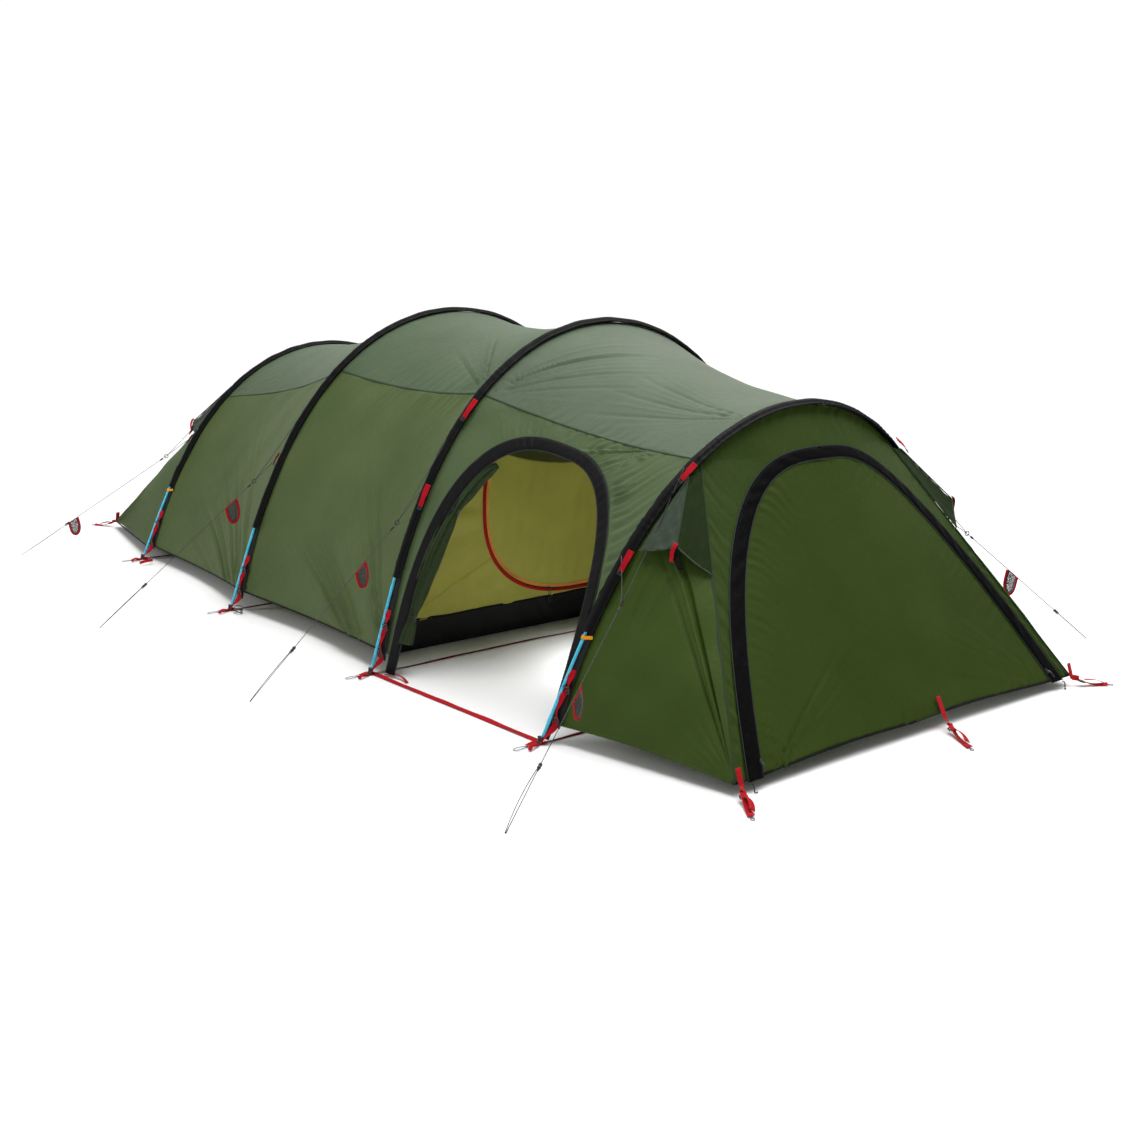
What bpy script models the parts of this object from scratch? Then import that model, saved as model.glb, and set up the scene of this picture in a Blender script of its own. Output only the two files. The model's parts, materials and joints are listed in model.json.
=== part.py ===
"""Four-pole tunnel tent: fabric fly on arched poles, a hung inner cabin, webbing feet and guy lines.

Metres, +Z up, +X towards the front porch.  The origin is on the ground under the middle of the tent.
Every arch is numbered from the rear, and u runs along it from the near (-Y) foot, 0, to the far foot, 1.
"""

import math

import bmesh
import bpy
import numpy as np
from mathutils import Matrix, Vector

# ---- driving dimensions -------------------------------------------------------------------------
POLE_X = (-1.551, -0.408, 0.718, 1.656)  # where each arch stands on the ground
POLE_LEAN = (0.005, 0.040, -0.014, 0.089)  # forward lean, as a slope
POLE_HALF_WIDTH = (1.053, 1.122, 1.099, 1.038)
POLE_HEIGHT = (1.018, 1.238, 1.242, 1.019)
BEND_GROWTH = 2.2  # how fast the bend of a pole gathers towards its top
POLE_RADIUS = 0.0055
POLE_END_Z = 0.0085  # the poles' ends stand on their foot pads

HALF_LENGTH = 2.512  # from the origin to the tips of the end peg straps
FRONT_HEM_X = 2.325
FRONT_CORNER_Y = 0.849
REAR_HEM_X = -2.383
REAR_CORNER_Y = 0.870
END_HEM_Z = 0.030
HEM_HEIGHT = 0.072  # gap under the fly along its sides

ARCH_STEPS = 22
ROOF_STEP = 7  # the roof seam is this many steps up from each foot
END_SEAM_U = 7.5 / ARCH_STEPS  # where the seams of the end walls leave the outer arches
FLY_DEPTH = 0.0105  # the fly hangs this far inside the poles' centre lines
FLY_SAG = 0.050  # how far the fly dips between two arches
FLY_WALL = 0.003
SLEEVE_HALF_WIDTH = 0.017
SLEEVE_HALF_HEIGHT = 0.008
SLEEVE_BORE = 0.0068
SLEEVE_FOOT_Z = 0.330  # the sleeves stop here and the poles' ends stand free
SEAM_GAP = 0.001

SIDE_DOOR_MIDDLE = 0.51  # of the way from arch 3 to arch 4
SIDE_DOOR_REAR_REACH = 0.415
SIDE_DOOR_FRONT_REACH = 0.475
SIDE_DOOR_TOP_U = 0.289
SIDE_DOOR_REAR_POWER = 3.2
SIDE_DOOR_FRONT_POWER = 2.0
FRONT_DOOR_TOP_Z = 0.835
FRONT_DOOR_FOOT_Z = 0.034
FRONT_DOOR_HALF_FOOT = 0.745
FRONT_DOOR_TAPER = 0.38
FRONT_DOOR_POWER = 3.0
DOOR_GAP = 0.002
ROLLED_DOOR_RADIUS = 0.021
HINGE_STAND_OFF = 0.012

TUB_REAR_X = -1.500
TUB_FRONT_X = 0.556
TUB_HALF_WIDTH = 0.900
TUB_HEIGHT = 0.115
TUB_WALL = 0.002
INNER_DEPTH = 0.065
INNER_WALL = 0.002
INNER_DOOR_HALF_WIDTH = 0.472
INNER_DOOR_HALF_HEIGHT = 0.377
INNER_DOOR_Z = 0.520
INNER_DOOR_POWER = 2.5

FOOT_PAD_THICKNESS = 0.0055
STRAP_THICKNESS = 0.0025
STRAP_HALF_WIDTH = 0.010
PEG_LOOP_REACH = 0.100
HEM_BAND_WIDTH = 0.012
# Each peg strap: where it leaves the hem, then its tip's x and y.
FRONT_PEG_STRAPS = ((-0.836, 2.471, -0.926), (0.105, HALF_LENGTH, 0.008), (0.836, 2.420, 0.962))
REAR_PEG_STRAPS = ((-0.858, -HALF_LENGTH, -0.953), (0.858, -HALF_LENGTH, 0.953))
CORD_RADIUS = 0.00125
# Each guy line: how far up its arch it is tied, the point of its bridle, and its peg on the ground.
GUY_TIE_U = (0.209, 0.1915, 0.1935, 0.207)
GUY_BRIDLE = (
    (-1.621, -0.873, 0.487),
    (-0.406, -0.988, 0.543),
    (0.718, -0.974, 0.549),
    (1.813, -0.844, 0.461),
)
GUY_PEG = ((-1.990, -1.496), (-0.464, -1.661), (0.741, -1.584), (2.136, -1.517))
FAR_FRONT_BRIDLE = (1.814, -0.892, 0.464)  # the far front line is pegged nearer the tent than the others
FAR_FRONT_PEG = (2.026, -1.442)
RUNNER_SHARE = (0.66, 0.70, 0.70, 0.72)  # of the way from the bridle to the peg

# ---- colours: linear base colour, roughness, metallic --------------------------------------------
FINISHES = {
    "fly_roof": ((0.15, 0.20, 0.12), 0.55, 0.0),
    "fly_side": ((0.08, 0.115, 0.045), 0.55, 0.0),
    "fly_end": ((0.035, 0.06, 0.011), 0.55, 0.0),
    "inner": ((0.13, 0.125, 0.03), 0.65, 0.0),
    "tub": ((0.012, 0.012, 0.011), 0.6, 0.0),
    "sleeve": ((0.012, 0.012, 0.013), 0.7, 0.0),
    "pole": ((0.05, 0.42, 0.62), 0.3, 0.9),
    "webbing": ((0.48, 0.012, 0.02), 0.75, 0.0),
    "cord": ((0.10, 0.11, 0.12), 0.8, 0.0),
    "plastic": ((0.015, 0.015, 0.015), 0.4, 0.0),
}

NEAR, FAR = -1, 1
SIDES = {"near": NEAR, "far": FAR}


# ---- scene helpers -------------------------------------------------------------------------------
def clear_scene():
    for old in list(bpy.data.objects):
        bpy.data.objects.remove(old, do_unlink=True)


def finish_named(name):
    """The material of that finish, made once."""
    found = bpy.data.materials.get(name)
    if found:
        return found
    material = bpy.data.materials.new(name)
    material.use_nodes = True
    shader = material.node_tree.nodes["Principled BSDF"]
    colour, roughness, metallic = FINISHES[name]
    shader.inputs["Base Color"].default_value = (*colour, 1.0)
    shader.inputs["Roughness"].default_value = roughness
    shader.inputs["Metallic"].default_value = metallic
    material.diffuse_color = (*colour, 1.0)
    return material


def add_mesh(name, finish, points, faces, origin=(0.0, 0.0, 0.0)):
    """One closed solid from points and faces, its faces turned outwards and its origin where stated."""
    mesh = bpy.data.meshes.new(name)
    mesh.from_pydata([Vector(p) - Vector(origin) for p in points], [], faces)
    work = bmesh.new()
    work.from_mesh(mesh)
    bmesh.ops.recalc_face_normals(work, faces=work.faces)
    work.to_mesh(mesh)
    work.free()
    mesh.shade_smooth()
    mesh.set_sharp_from_angle(angle=math.radians(40))
    mesh.materials.append(finish_named(finish))
    part = bpy.data.objects.new(name, mesh)
    part.location = origin
    bpy.context.collection.objects.link(part)
    return part


def add_slab(name, finish, front, back, faces, origin=(0.0, 0.0, 0.0)):
    """A solid between two layers of points that share their faces, walled along the open edges."""
    count = len(front)
    solid = list(faces) + [tuple(count + i for i in reversed(face)) for face in faces]
    edges = {}
    for face in faces:
        for a, b in zip(face, face[1:] + face[:1]):
            edges[frozenset((a, b))] = None if frozenset((a, b)) in edges else (a, b)
    for edge in edges.values():
        if edge:
            solid.append((edge[0], edge[1], count + edge[1], count + edge[0]))
    return add_mesh(name, finish, [*front, *back], solid, origin)


def add_sheet(name, finish, outside, inside, closed=False, origin=(0.0, 0.0, 0.0)):
    """A cloth panel between two grids of points.  A closed one's last row meets its first, as on a ring."""
    rows, columns = outside.shape[:2]
    faces = []
    for r in range(rows if closed else rows - 1):
        here, after = r * columns, (r + 1) % rows * columns
        for c in range(columns - 1):
            faces.append((here + c, here + c + 1, after + c + 1, after + c))
    return add_slab(name, finish, outside.reshape(-1, 3), inside.reshape(-1, 3), faces, origin)


def add_plate(name, finish, outline, thickness, origin=(0.0, 0.0, 0.0)):
    """A flat plate: an outline of points, carried along the thickness vector."""
    front = np.asarray(outline, float)
    return add_slab(name, finish, front, front + np.asarray(thickness), [tuple(range(len(front)))], origin)


def add_rod(name, finish, points, radius, resolution):
    """A round rod or cord: a poly curve through the points, with closed ends."""
    curve = bpy.data.curves.new(name, "CURVE")
    curve.dimensions = "3D"
    curve.bevel_depth = radius
    curve.bevel_resolution = resolution
    curve.use_fill_caps = True
    spline = curve.splines.new("POLY")
    spline.points.add(len(points) - 1)
    for knot, place in zip(spline.points, points):
        knot.co = (*place, 1.0)
    curve.materials.append(finish_named(finish))
    part = bpy.data.objects.new(name, curve)
    bpy.context.collection.objects.link(part)
    return part


# ---- the arches ----------------------------------------------------------------------------------
def arch_profile(half_width, height, steps=800):
    """Half a bent pole, foot to top: y, z and the length so far.

    The cosine of the pole's slope rises from the foot's value to 1 at the top as a power of height,
    so the bend gathers towards the top.  The foot's value is the one that gives the stated width.
    """
    def trace(foot_cosine):
        slope = np.linspace(math.acos(foot_cosine), 0.0, steps + 1)
        share = np.clip((np.cos(slope) - foot_cosine) / (1 - foot_cosine), 0, 1)
        z = height * share ** (1 / BEND_GROWTH)
        middle = 0.5 * (slope[:-1] + slope[1:])
        y = np.concatenate([[0.0], np.cumsum(np.diff(z) / np.tan(middle))])
        return y, z

    low, high = -0.5, 0.99
    for _ in range(60):
        foot_cosine = 0.5 * (low + high)
        reach = trace(foot_cosine)[0][-1]
        low, high = (foot_cosine, high) if reach < half_width else (low, foot_cosine)
    y, z = trace(0.5 * (low + high))
    y = y[-1] - y
    length = np.concatenate([[0.0], np.cumsum(np.hypot(np.diff(y), np.diff(z)))])
    return y, z, length / length[-1]


PROFILES = [arch_profile(w, h) for w, h in zip(POLE_HALF_WIDTH, POLE_HEIGHT)]


def arch_point(arch, u, depth=0.0):
    """A point on arch 0 to 3 at u, moved inwards in the arch's own plane by depth."""
    y, z, share = PROFILES[arch]
    side = NEAR if u < 0.5 else FAR
    climb = 1 - abs(u - 0.5) * 2
    here = np.array([np.interp(climb, share, y), np.interp(climb, share, z)])
    before, after = max(climb - 0.01, 0.0), min(climb + 0.01, 1.0)
    run = np.interp(after, share, y) - np.interp(before, share, y)
    rise = np.interp(after, share, z) - np.interp(before, share, z)
    if climb > 0.995:
        run, rise = -1.0, 0.0
    inward = np.array([-rise, run]) / math.hypot(run, rise)
    here = here + depth * inward
    return np.array([POLE_X[arch] + POLE_LEAN[arch] * here[1], side * here[0], here[1]])


def arch_u(arch, height):
    """How far up arch 0 to 3, as u, its near leg reaches that height."""
    _, z, share = PROFILES[arch]
    return 0.5 * float(np.interp(height, z, share))


def fly_point(bay, u, v, depth=FLY_DEPTH):
    """The fly between arch bay and the next, v of the way forward, dipping between the two."""
    low = arch_point(bay, u, depth)
    high = arch_point(bay + 1, u, depth)
    inward = arch_point(bay, u, 1.0) - arch_point(bay, u)
    return (1 - v) * low + v * high + inward * FLY_SAG * 4 * v * (1 - v)


def steps_between(start, end, extra=()):
    """The shared arch stations from one u to another, so that neighbouring panels bend alike."""
    inner = [k / ARCH_STEPS for k in range(ARCH_STEPS + 1) if start + 1e-6 < k / ARCH_STEPS < end - 1e-6]
    return sorted({start, end, *inner, *extra})


def mirrored(points, side):
    """The same points on the near side, or turned to the far side."""
    points = np.array(points, float)
    if side == FAR:
        points[..., 1] *= -1
    return points


def build_poles():
    for arch in range(4):
        foot = arch_u(arch, POLE_END_Z)
        mouth = arch_u(arch, SLEEVE_FOOT_Z)
        stations = steps_between(foot, 1 - foot, (mouth, 1 - mouth))
        points = [arch_point(arch, u) for u in stations]
        add_rod(f"pole_{arch + 1}", "pole", points, POLE_RADIUS, 1)


def build_sleeves():
    """Flat cloth tunnels round the poles, open at both ends."""
    turns = np.radians([90, 30, -30, -90, -150, 150])
    for arch in range(4):
        foot = arch_u(arch, SLEEVE_FOOT_Z)
        outside, inside = [], []
        for u in steps_between(foot, 1 - foot):
            centre = arch_point(arch, u)
            inward = arch_point(arch, u, 1.0) - centre
            forward = np.array([1.0, 0.0, 0.0])
            tubes = ((outside, SLEEVE_HALF_WIDTH, SLEEVE_HALF_HEIGHT), (inside, SLEEVE_BORE, SLEEVE_BORE))
            for ring, wide, high in tubes:
                steps = [forward * wide * math.cos(t) + inward * high * math.sin(t) for t in turns]
                ring.append([centre + step for step in steps])
        outside = np.transpose(np.array(outside), (1, 0, 2))
        inside = np.transpose(np.array(inside), (1, 0, 2))
        add_sheet(f"pole_sleeve_{arch + 1}", "sleeve", outside, inside, closed=True)


# ---- the fly's tunnel ----------------------------------------------------------------------------
def bay_grid(bays, us, depth, start=0.0, end=1.0, steps=4):
    """Rows of u, columns running forward over the bays, cut to the stated shares of the end bays."""
    rows = []
    for u in us:
        row = []
        for bay in bays:
            first = start if bay == bays[0] else 0.0
            last = end if bay == bays[-1] else 1.0
            shares = np.linspace(first, last, steps + 1)
            if bay != bays[0]:
                shares = shares[1:]
            row += [fly_point(bay, u, v, depth) for v in shares]
        rows.append(row)
    return np.array(rows)


def tunnel_panel(name, finish, bays, us, depth=FLY_DEPTH, wall=FLY_WALL, start=0.001, end=0.999, steps=4):
    outside = bay_grid(bays, us, depth, start, end, steps)
    inside = bay_grid(bays, us, depth + wall, start, end, steps)
    return add_sheet(name, finish, outside, inside)


def build_tunnel():
    hem = arch_u(0, HEM_HEIGHT)
    seam = ROOF_STEP / ARCH_STEPS
    gap = SEAM_GAP / 3.5
    roof = steps_between(seam + gap, 1 - seam - gap)
    near = steps_between(hem, seam - gap)
    far = [1 - u for u in reversed(near)]
    tunnel_panel("fly_roof_rear", "fly_roof", (0, 1), roof)
    tunnel_panel("fly_roof_porch", "fly_roof", (2,), roof, end=0.995)
    tunnel_panel("fly_side_near", "fly_side", (0, 1), near)
    tunnel_panel("fly_side_far", "fly_side", (0, 1), far)


# ---- side doors ----------------------------------------------------------------------------------
def side_door_edge(climb, direction, margin=0.0):
    """How far along the bay the doorway's edge is, at a share of its height.

    Each half is a superellipse: squarer towards the rear, rounder towards the front.
    """
    power = SIDE_DOOR_REAR_POWER if direction < 0 else SIDE_DOOR_FRONT_POWER
    reach = SIDE_DOOR_REAR_REACH if direction < 0 else SIDE_DOOR_FRONT_REACH
    return SIDE_DOOR_MIDDLE + direction * (reach + margin) * max(1 - climb**power, 0.0) ** (1 / power)


def side_door_climbs(count, foot_u, top):
    """Shares of the doorway's height, closer together towards its top."""
    climbs = np.sin(np.linspace(0, math.pi / 2, count))
    return foot_u / top + (1 - foot_u / top) * climbs


def side_door_outline(count, foot_u, margin=0.0):
    """The doorway as (u, v), from the rear foot over the top to the front foot."""
    top = SIDE_DOOR_TOP_U + margin / 4
    climbs = side_door_climbs(count, foot_u, top)
    rear = [(top * c, side_door_edge(c, -1, margin)) for c in climbs]
    front = [(top * c, side_door_edge(c, 1, margin)) for c in climbs[::-1]]
    return rear + front[1:]


def build_side_doorways():
    """The porch's two side walls, the far door in its doorway and the near door rolled up beside it."""
    hem = arch_u(2, HEM_HEIGHT)
    seam = ROOF_STEP / ARCH_STEPS - SEAM_GAP / 3.5
    legs = steps_between(hem, seam)
    count = len(legs) + 2
    doorway = side_door_outline(count, hem, DOOR_GAP)
    top = [(seam, v) for v in np.linspace(0, 1, 2 * count - 1 - 2 * len(legs) + 2)[1:-1]]
    frame = [(u, 0.001) for u in legs] + top + [(u, 0.999) for u in reversed(legs)]
    for label, side in SIDES.items():
        grids = []
        for depth in (FLY_DEPTH, FLY_DEPTH + FLY_WALL):
            rows = []
            for (u0, v0), (u1, v1) in zip(frame, doorway):
                shares = (0.0, 0.5, 1.0)
                rows.append([fly_point(2, u0 + s * (u1 - u0), v0 + s * (v1 - v0), depth) for s in shares])
            grids.append(mirrored(rows, side))
        add_sheet(f"porch_side_{label}", "fly_side", *grids)
    build_far_side_door(hem, count)
    build_rolled_door()


def side_door_hinge():
    """Two points on the far door's hinge line, just outside the rear leg of its doorway."""
    v = side_door_edge(0.12, -1)
    return [mirrored(fly_point(2, u, v, FLY_DEPTH - HINGE_STAND_OFF), FAR) for u in (0.035, 0.150)]


def build_far_side_door(foot_u, count):
    climbs = side_door_climbs(count, foot_u, SIDE_DOOR_TOP_U)[:-1]
    grids = []
    for depth in (FLY_DEPTH, FLY_DEPTH + FLY_WALL):
        rows = []
        for climb in climbs:
            rear, front = side_door_edge(climb, -1), side_door_edge(climb, 1)
            u = SIDE_DOOR_TOP_U * climb
            rows.append([fly_point(2, u, v, depth) for v in np.linspace(rear, front, 6)])
        grids.append(mirrored(rows, FAR))
    add_sheet("side_door_far", "fly_side", *grids, origin=tuple(side_door_hinge()[0]))


def build_rolled_door():
    """The near door, rolled up and tied along the rear leg of its doorway."""
    places = []
    for u in np.linspace(0.050, 0.245, 9):
        v = side_door_edge(u / SIDE_DOOR_TOP_U, -1) + 0.032
        places.append(fly_point(2, u, v, 0.034))
    add_rod("side_door_near_rolled", "fly_side", places, ROLLED_DOOR_RADIUS, 2)


# ---- end walls -----------------------------------------------------------------------------------
def front_edge(z):
    """The edge of the front wall at height z: the seam from the corner up to the arch, then the arch."""
    seam_top = arch_point(3, END_SEAM_U, FLY_DEPTH)
    if z < seam_top[2]:
        share = (z - END_HEM_Z) / (seam_top[2] - END_HEM_Z)
        x = FRONT_HEM_X + share * (seam_top[0] - FRONT_HEM_X)
        return x, FRONT_CORNER_Y + share * (abs(seam_top[1]) - FRONT_CORNER_Y)
    y, height, share = PROFILES[3]
    return POLE_X[3] + POLE_LEAN[3] * z, float(np.interp(z + FLY_DEPTH, height, y))


def front_x(y, z):
    """The front wall: straight up its middle, and curving back to its edges as the square of y."""
    top = arch_point(3, 0.5, FLY_DEPTH)
    middle = FRONT_HEM_X + (z - END_HEM_Z) / (top[2] - END_HEM_Z) * (top[0] - FRONT_HEM_X)
    edge_x, edge_y = front_edge(min(z, top[2] - 0.02))
    return middle - (middle - edge_x) * min(abs(y) / max(edge_y, 0.1), 1.0) ** 2


def front_door_half_width(z, margin=0.0):
    """Half the front door's width at height z: a taper, closed over at the top by a superellipse."""
    climb = min(z / (FRONT_DOOR_TOP_Z + margin), 1.0)
    taper = FRONT_DOOR_HALF_FOOT + margin - FRONT_DOOR_TAPER * z
    return taper * (1 - climb**FRONT_DOOR_POWER) ** (1 / FRONT_DOOR_POWER)


def front_sheet(name, finish, rows, origin=(0.0, 0.0, 0.0), closed=False):
    """A panel of the front wall, from rows of (y, z)."""
    outside = np.array([[(front_x(y, z), y, z) for y, z in row] for row in rows])
    inside = outside - np.array([FLY_WALL, 0.0, 0.0])
    return add_sheet(name, finish, outside, inside, closed, origin)


def build_front_wall():
    heights = np.linspace(0, 1, 7)
    seam_top = arch_point(3, END_SEAM_U, FLY_DEPTH)
    foot, climb_end = FRONT_DOOR_FOOT_Z, seam_top[2]
    legs = [foot + (climb_end - foot) * h for h in heights]
    outer = [(-front_edge(z)[1] + 0.004, z) for z in legs]
    for u in steps_between(END_SEAM_U, 1 - END_SEAM_U)[1:-1]:
        _, y, z = arch_point(3, u, FLY_DEPTH + 0.001)
        outer.append((y, z))
    outer += [(-y, z) for y, z in outer[: len(legs)][::-1]]
    count = (len(outer) + 1) // 2
    climbs = np.sin(np.linspace(0, math.pi / 2, count))
    top = FRONT_DOOR_TOP_Z + DOOR_GAP
    door_heights = [foot + (top - foot) * c for c in climbs]
    left = [(-front_door_half_width(z, DOOR_GAP), z) for z in door_heights]
    inner = left + [(-y, z) for y, z in left[:-1][::-1]]
    rows = []
    for (y0, z0), (y1, z1) in zip(outer, inner):
        rows.append([(y0 + s * (y1 - y0), z0 + s * (z1 - z0)) for s in (0.0, 0.5, 1.0)])
    front_sheet("front_header", "fly_end", rows)
    rows = []
    for c in climbs[:-1]:
        z = foot + (FRONT_DOOR_TOP_Z - foot) * c
        half = front_door_half_width(z)
        rows.append([(half * s, z) for s in np.linspace(-1, 1, 7)])
    front_sheet("front_door", "fly_end", rows, origin=(FRONT_HEM_X, 0.0, END_HEM_Z))
    for label, side in SIDES.items():
        build_front_corner(label, side)
        build_door_slider(label, side)


def corner_cone(arch, corner, us, shares, depth):
    """A corner panel: straight threads from each station of the arch to the pegged corner."""
    corner = np.asarray(corner, float)
    rows = []
    for u in us:
        start = arch_point(arch, u, depth)
        rows.append([(1 - s) * start + s * corner for s in shares])
    return np.array(rows)


def build_front_corner(label, side):
    us = steps_between(arch_u(3, HEM_HEIGHT - 0.01), END_SEAM_U - 0.002)
    shares = (0.004, 0.25, 0.5, 0.75, 0.955)
    corner = (FRONT_HEM_X, -FRONT_CORNER_Y, END_HEM_Z + 0.004)
    outside = corner_cone(3, corner, us, shares, FLY_DEPTH)
    inside = outside + np.array([0.0, FLY_WALL, -0.0002])
    add_sheet(f"front_corner_{label}", "fly_end", mirrored(outside, side), mirrored(inside, side))


def door_slider_path(side):
    """Where the front door's zip slider rests and the point that it slides towards."""
    low, high = 0.070, 0.370
    ends = []
    for z in (low, high):
        y = front_door_half_width(z, DOOR_GAP) + 0.0055
        ends.append(np.array([front_x(y, z) + 0.0075, side * y, z]))
    return ends


def build_door_slider(label, side):
    """A zip slider with its pull, standing on the outside of the zip."""
    start, towards = door_slider_path(side)
    along = Vector(towards - start).normalized()
    outward = Vector((1.0, 0.0, 0.55)).normalized()
    across = along.cross(outward).normalized()
    outward = across.cross(along)
    half = [(-0.009, -0.0045), (0.005, -0.0045), (0.008, -0.002)]
    outline = half + [(a, -b) for a, b in reversed(half)]
    points = [Vector(start) + along * a + across * b - outward * 0.002 for a, b in outline]
    add_plate(f"front_zip_slider_{label}", "plastic", points, outward * 0.004, origin=tuple(start))


def build_rear_wall():
    """The rear end: one cloth from corner to corner, straight threads from the arch to the hem.

    The threads of its two sides all run towards a pegged corner, and stop a little short of it.
    """
    foot = arch_u(0, HEM_HEIGHT - 0.01)
    grids = []
    for inset in (0.0, 1.8 * FLY_WALL):
        rows = []
        for u in steps_between(foot, 1 - foot, (END_SEAM_U, 1 - END_SEAM_U)):
            start = arch_point(0, u, FLY_DEPTH + inset) + np.array([inset - 0.0055, 0.0, 0.0])
            across = np.clip((u - END_SEAM_U) / (1 - 2 * END_SEAM_U), 0, 1)
            end = np.array([REAR_HEM_X + inset, REAR_CORNER_Y * (2 * across - 1), END_HEM_Z + 0.006])
            reach = 0.95 if across in (0, 1) else 0.995
            rows.append([(1 - s) * start + s * end for s in np.linspace(0, reach, 4)])
        grids.append(np.array(rows))
    add_sheet("rear_wall", "fly_end", *grids)


def build_hem_strap(name, hem_x, half_width, direction, straps):
    """A hem band across the tent, and the peg straps that run down from its outer edge to the ground.

    Each strap is the place along the hem where it starts, then its tip's x and y.
    """
    outer_x = hem_x + direction * HEM_BAND_WIDTH
    sides = (-STRAP_HALF_WIDTH, STRAP_HALF_WIDTH)
    cuts = [-half_width, *[y + e for y, _, _ in straps for e in sides], half_width]
    count = len(cuts)
    points = [(x, y, END_HEM_Z) for x in (hem_x, outer_x) for y in cuts]
    faces = [(i, i + 1, count + i + 1, count + i) for i in range(count - 1)]
    for k, (_, tip_x, tip_y) in enumerate(straps):
        root = count + 1 + 2 * k
        faces.append((root, root + 1, len(points) + 1, len(points)))
        points += [(tip_x, tip_y + e, STRAP_THICKNESS) for e in sides]
    top = np.array(points)
    add_slab(name, "webbing", top, top - np.array([0.0, 0.0, STRAP_THICKNESS]), faces)


def build_hems():
    build_hem_strap("front_hem_strap", FRONT_HEM_X + 0.002, FRONT_CORNER_Y + 0.011, 1, FRONT_PEG_STRAPS)
    build_hem_strap("rear_hem_strap", REAR_HEM_X - 0.002, REAR_CORNER_Y + 0.010, -1, REAR_PEG_STRAPS)


def build_vent_hoods():
    """Small peaked hoods over the vents beside each end's seams, open below."""
    front = {
        "apex": (1.788, -0.508, 0.812),
        "arch_side": (1.748, -0.728, 0.600),
        "peak": (1.878, -0.684, 0.628),
        "seam_side": (1.967, -0.626, 0.546),
    }
    rear = {
        "apex": (-1.636, -0.508, 0.800),
        "arch_side": (-1.604, -0.728, 0.600),
        "peak": (-1.750, -0.664, 0.632),
        "seam_side": (-1.850, -0.650, 0.552),
    }
    for end, places in (("front", front), ("rear", rear)):
        apex = np.array(places["apex"])
        brim = np.array([places["arch_side"], places["peak"], places["seam_side"]])
        brow = apex + (brim - apex) * 0.04
        outside = np.stack([brow, apex + (brim - apex) * 0.5, brim])
        inside = outside + np.array([0.0, FLY_WALL, -FLY_WALL])
        for label, side in SIDES.items():
            add_sheet(f"{end}_vent_hood_{label}", "fly_end", mirrored(outside, side), mirrored(inside, side))


# ---- the inner cabin -----------------------------------------------------------------------------
def build_tub():
    """The waterproof floor tray: a box with its top face set in and pushed down."""
    length = TUB_FRONT_X - TUB_REAR_X
    work = bmesh.new()
    made = bmesh.ops.create_cube(work, size=1.0)
    for vertex in made["verts"]:
        x = TUB_REAR_X + (vertex.co.x + 0.5) * length
        vertex.co = Vector((x, vertex.co.y * 2 * TUB_HALF_WIDTH, (vertex.co.z + 0.5) * TUB_HEIGHT))
    top = [face for face in work.faces if face.normal.z > 0.5]
    bmesh.ops.inset_region(work, faces=top, thickness=TUB_WALL)
    bmesh.ops.translate(work, verts=top[0].verts, vec=(0.0, 0.0, 0.003 - TUB_HEIGHT))
    mesh = bpy.data.meshes.new("inner_floor_tub")
    work.to_mesh(mesh)
    work.free()
    mesh.materials.append(finish_named("tub"))
    bpy.context.collection.objects.link(bpy.data.objects.new("inner_floor_tub", mesh))


def cabin_point(u, x, depth):
    """A point on the cabin's cloth at one place along the tent."""
    bay = 0 if x < POLE_X[1] else 1
    v = (x - POLE_X[bay]) / (POLE_X[bay + 1] - POLE_X[bay])
    place = fly_point(bay, u, v, depth)
    place[0] = x
    return place


def build_cabin_walls():
    xs = np.linspace(TUB_REAR_X + 0.003, TUB_FRONT_X - 0.003, 8)
    seam = ROOF_STEP / ARCH_STEPS
    side_us = [k / ARCH_STEPS for k in range(2, ROOF_STEP)] + [seam - 0.001]
    roof_us = steps_between(seam, 1 - seam)
    edge_z = TUB_HEIGHT + 0.001
    grids = {"side": [], "roof": []}
    for inset in (0.0, INNER_WALL):
        depth = INNER_DEPTH + inset
        rows = [[(x, -TUB_HALF_WIDTH + inset, edge_z) for x in xs]]
        rows += [[cabin_point(u, x, depth) for x in xs] for u in side_us]
        grids["side"].append(np.array(rows))
        grids["roof"].append(np.array([[cabin_point(u, x, depth) for x in xs] for u in roof_us]))
    for label, side in SIDES.items():
        add_sheet(f"inner_side_{label}", "inner", *[mirrored(grid, side) for grid in grids["side"]])
    add_sheet("inner_roof", "inner", *grids["roof"])


def cabin_end_outline(x):
    """The cabin's section at one place along the tent, from the near floor edge over to the far one."""
    rise = [(-TUB_HALF_WIDTH, TUB_HEIGHT + 0.001)]
    for k in range(2, ARCH_STEPS - 1):
        place = cabin_point(k / ARCH_STEPS, x, INNER_DEPTH)
        rise.append((place[1], place[2]))
    rise.append((TUB_HALF_WIDTH, TUB_HEIGHT + 0.001))
    return rise


def inner_door_edge(angle, margin=0.0):
    """The cabin door's outline: a superellipse round its middle."""
    c, s = math.cos(angle), math.sin(angle)
    power = INNER_DOOR_POWER
    wide, high = INNER_DOOR_HALF_WIDTH + margin, INNER_DOOR_HALF_HEIGHT + margin
    reach = (abs(c / wide) ** power + abs(s / high) ** power) ** (-1 / power)
    return reach * c, INNER_DOOR_Z + reach * s


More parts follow.
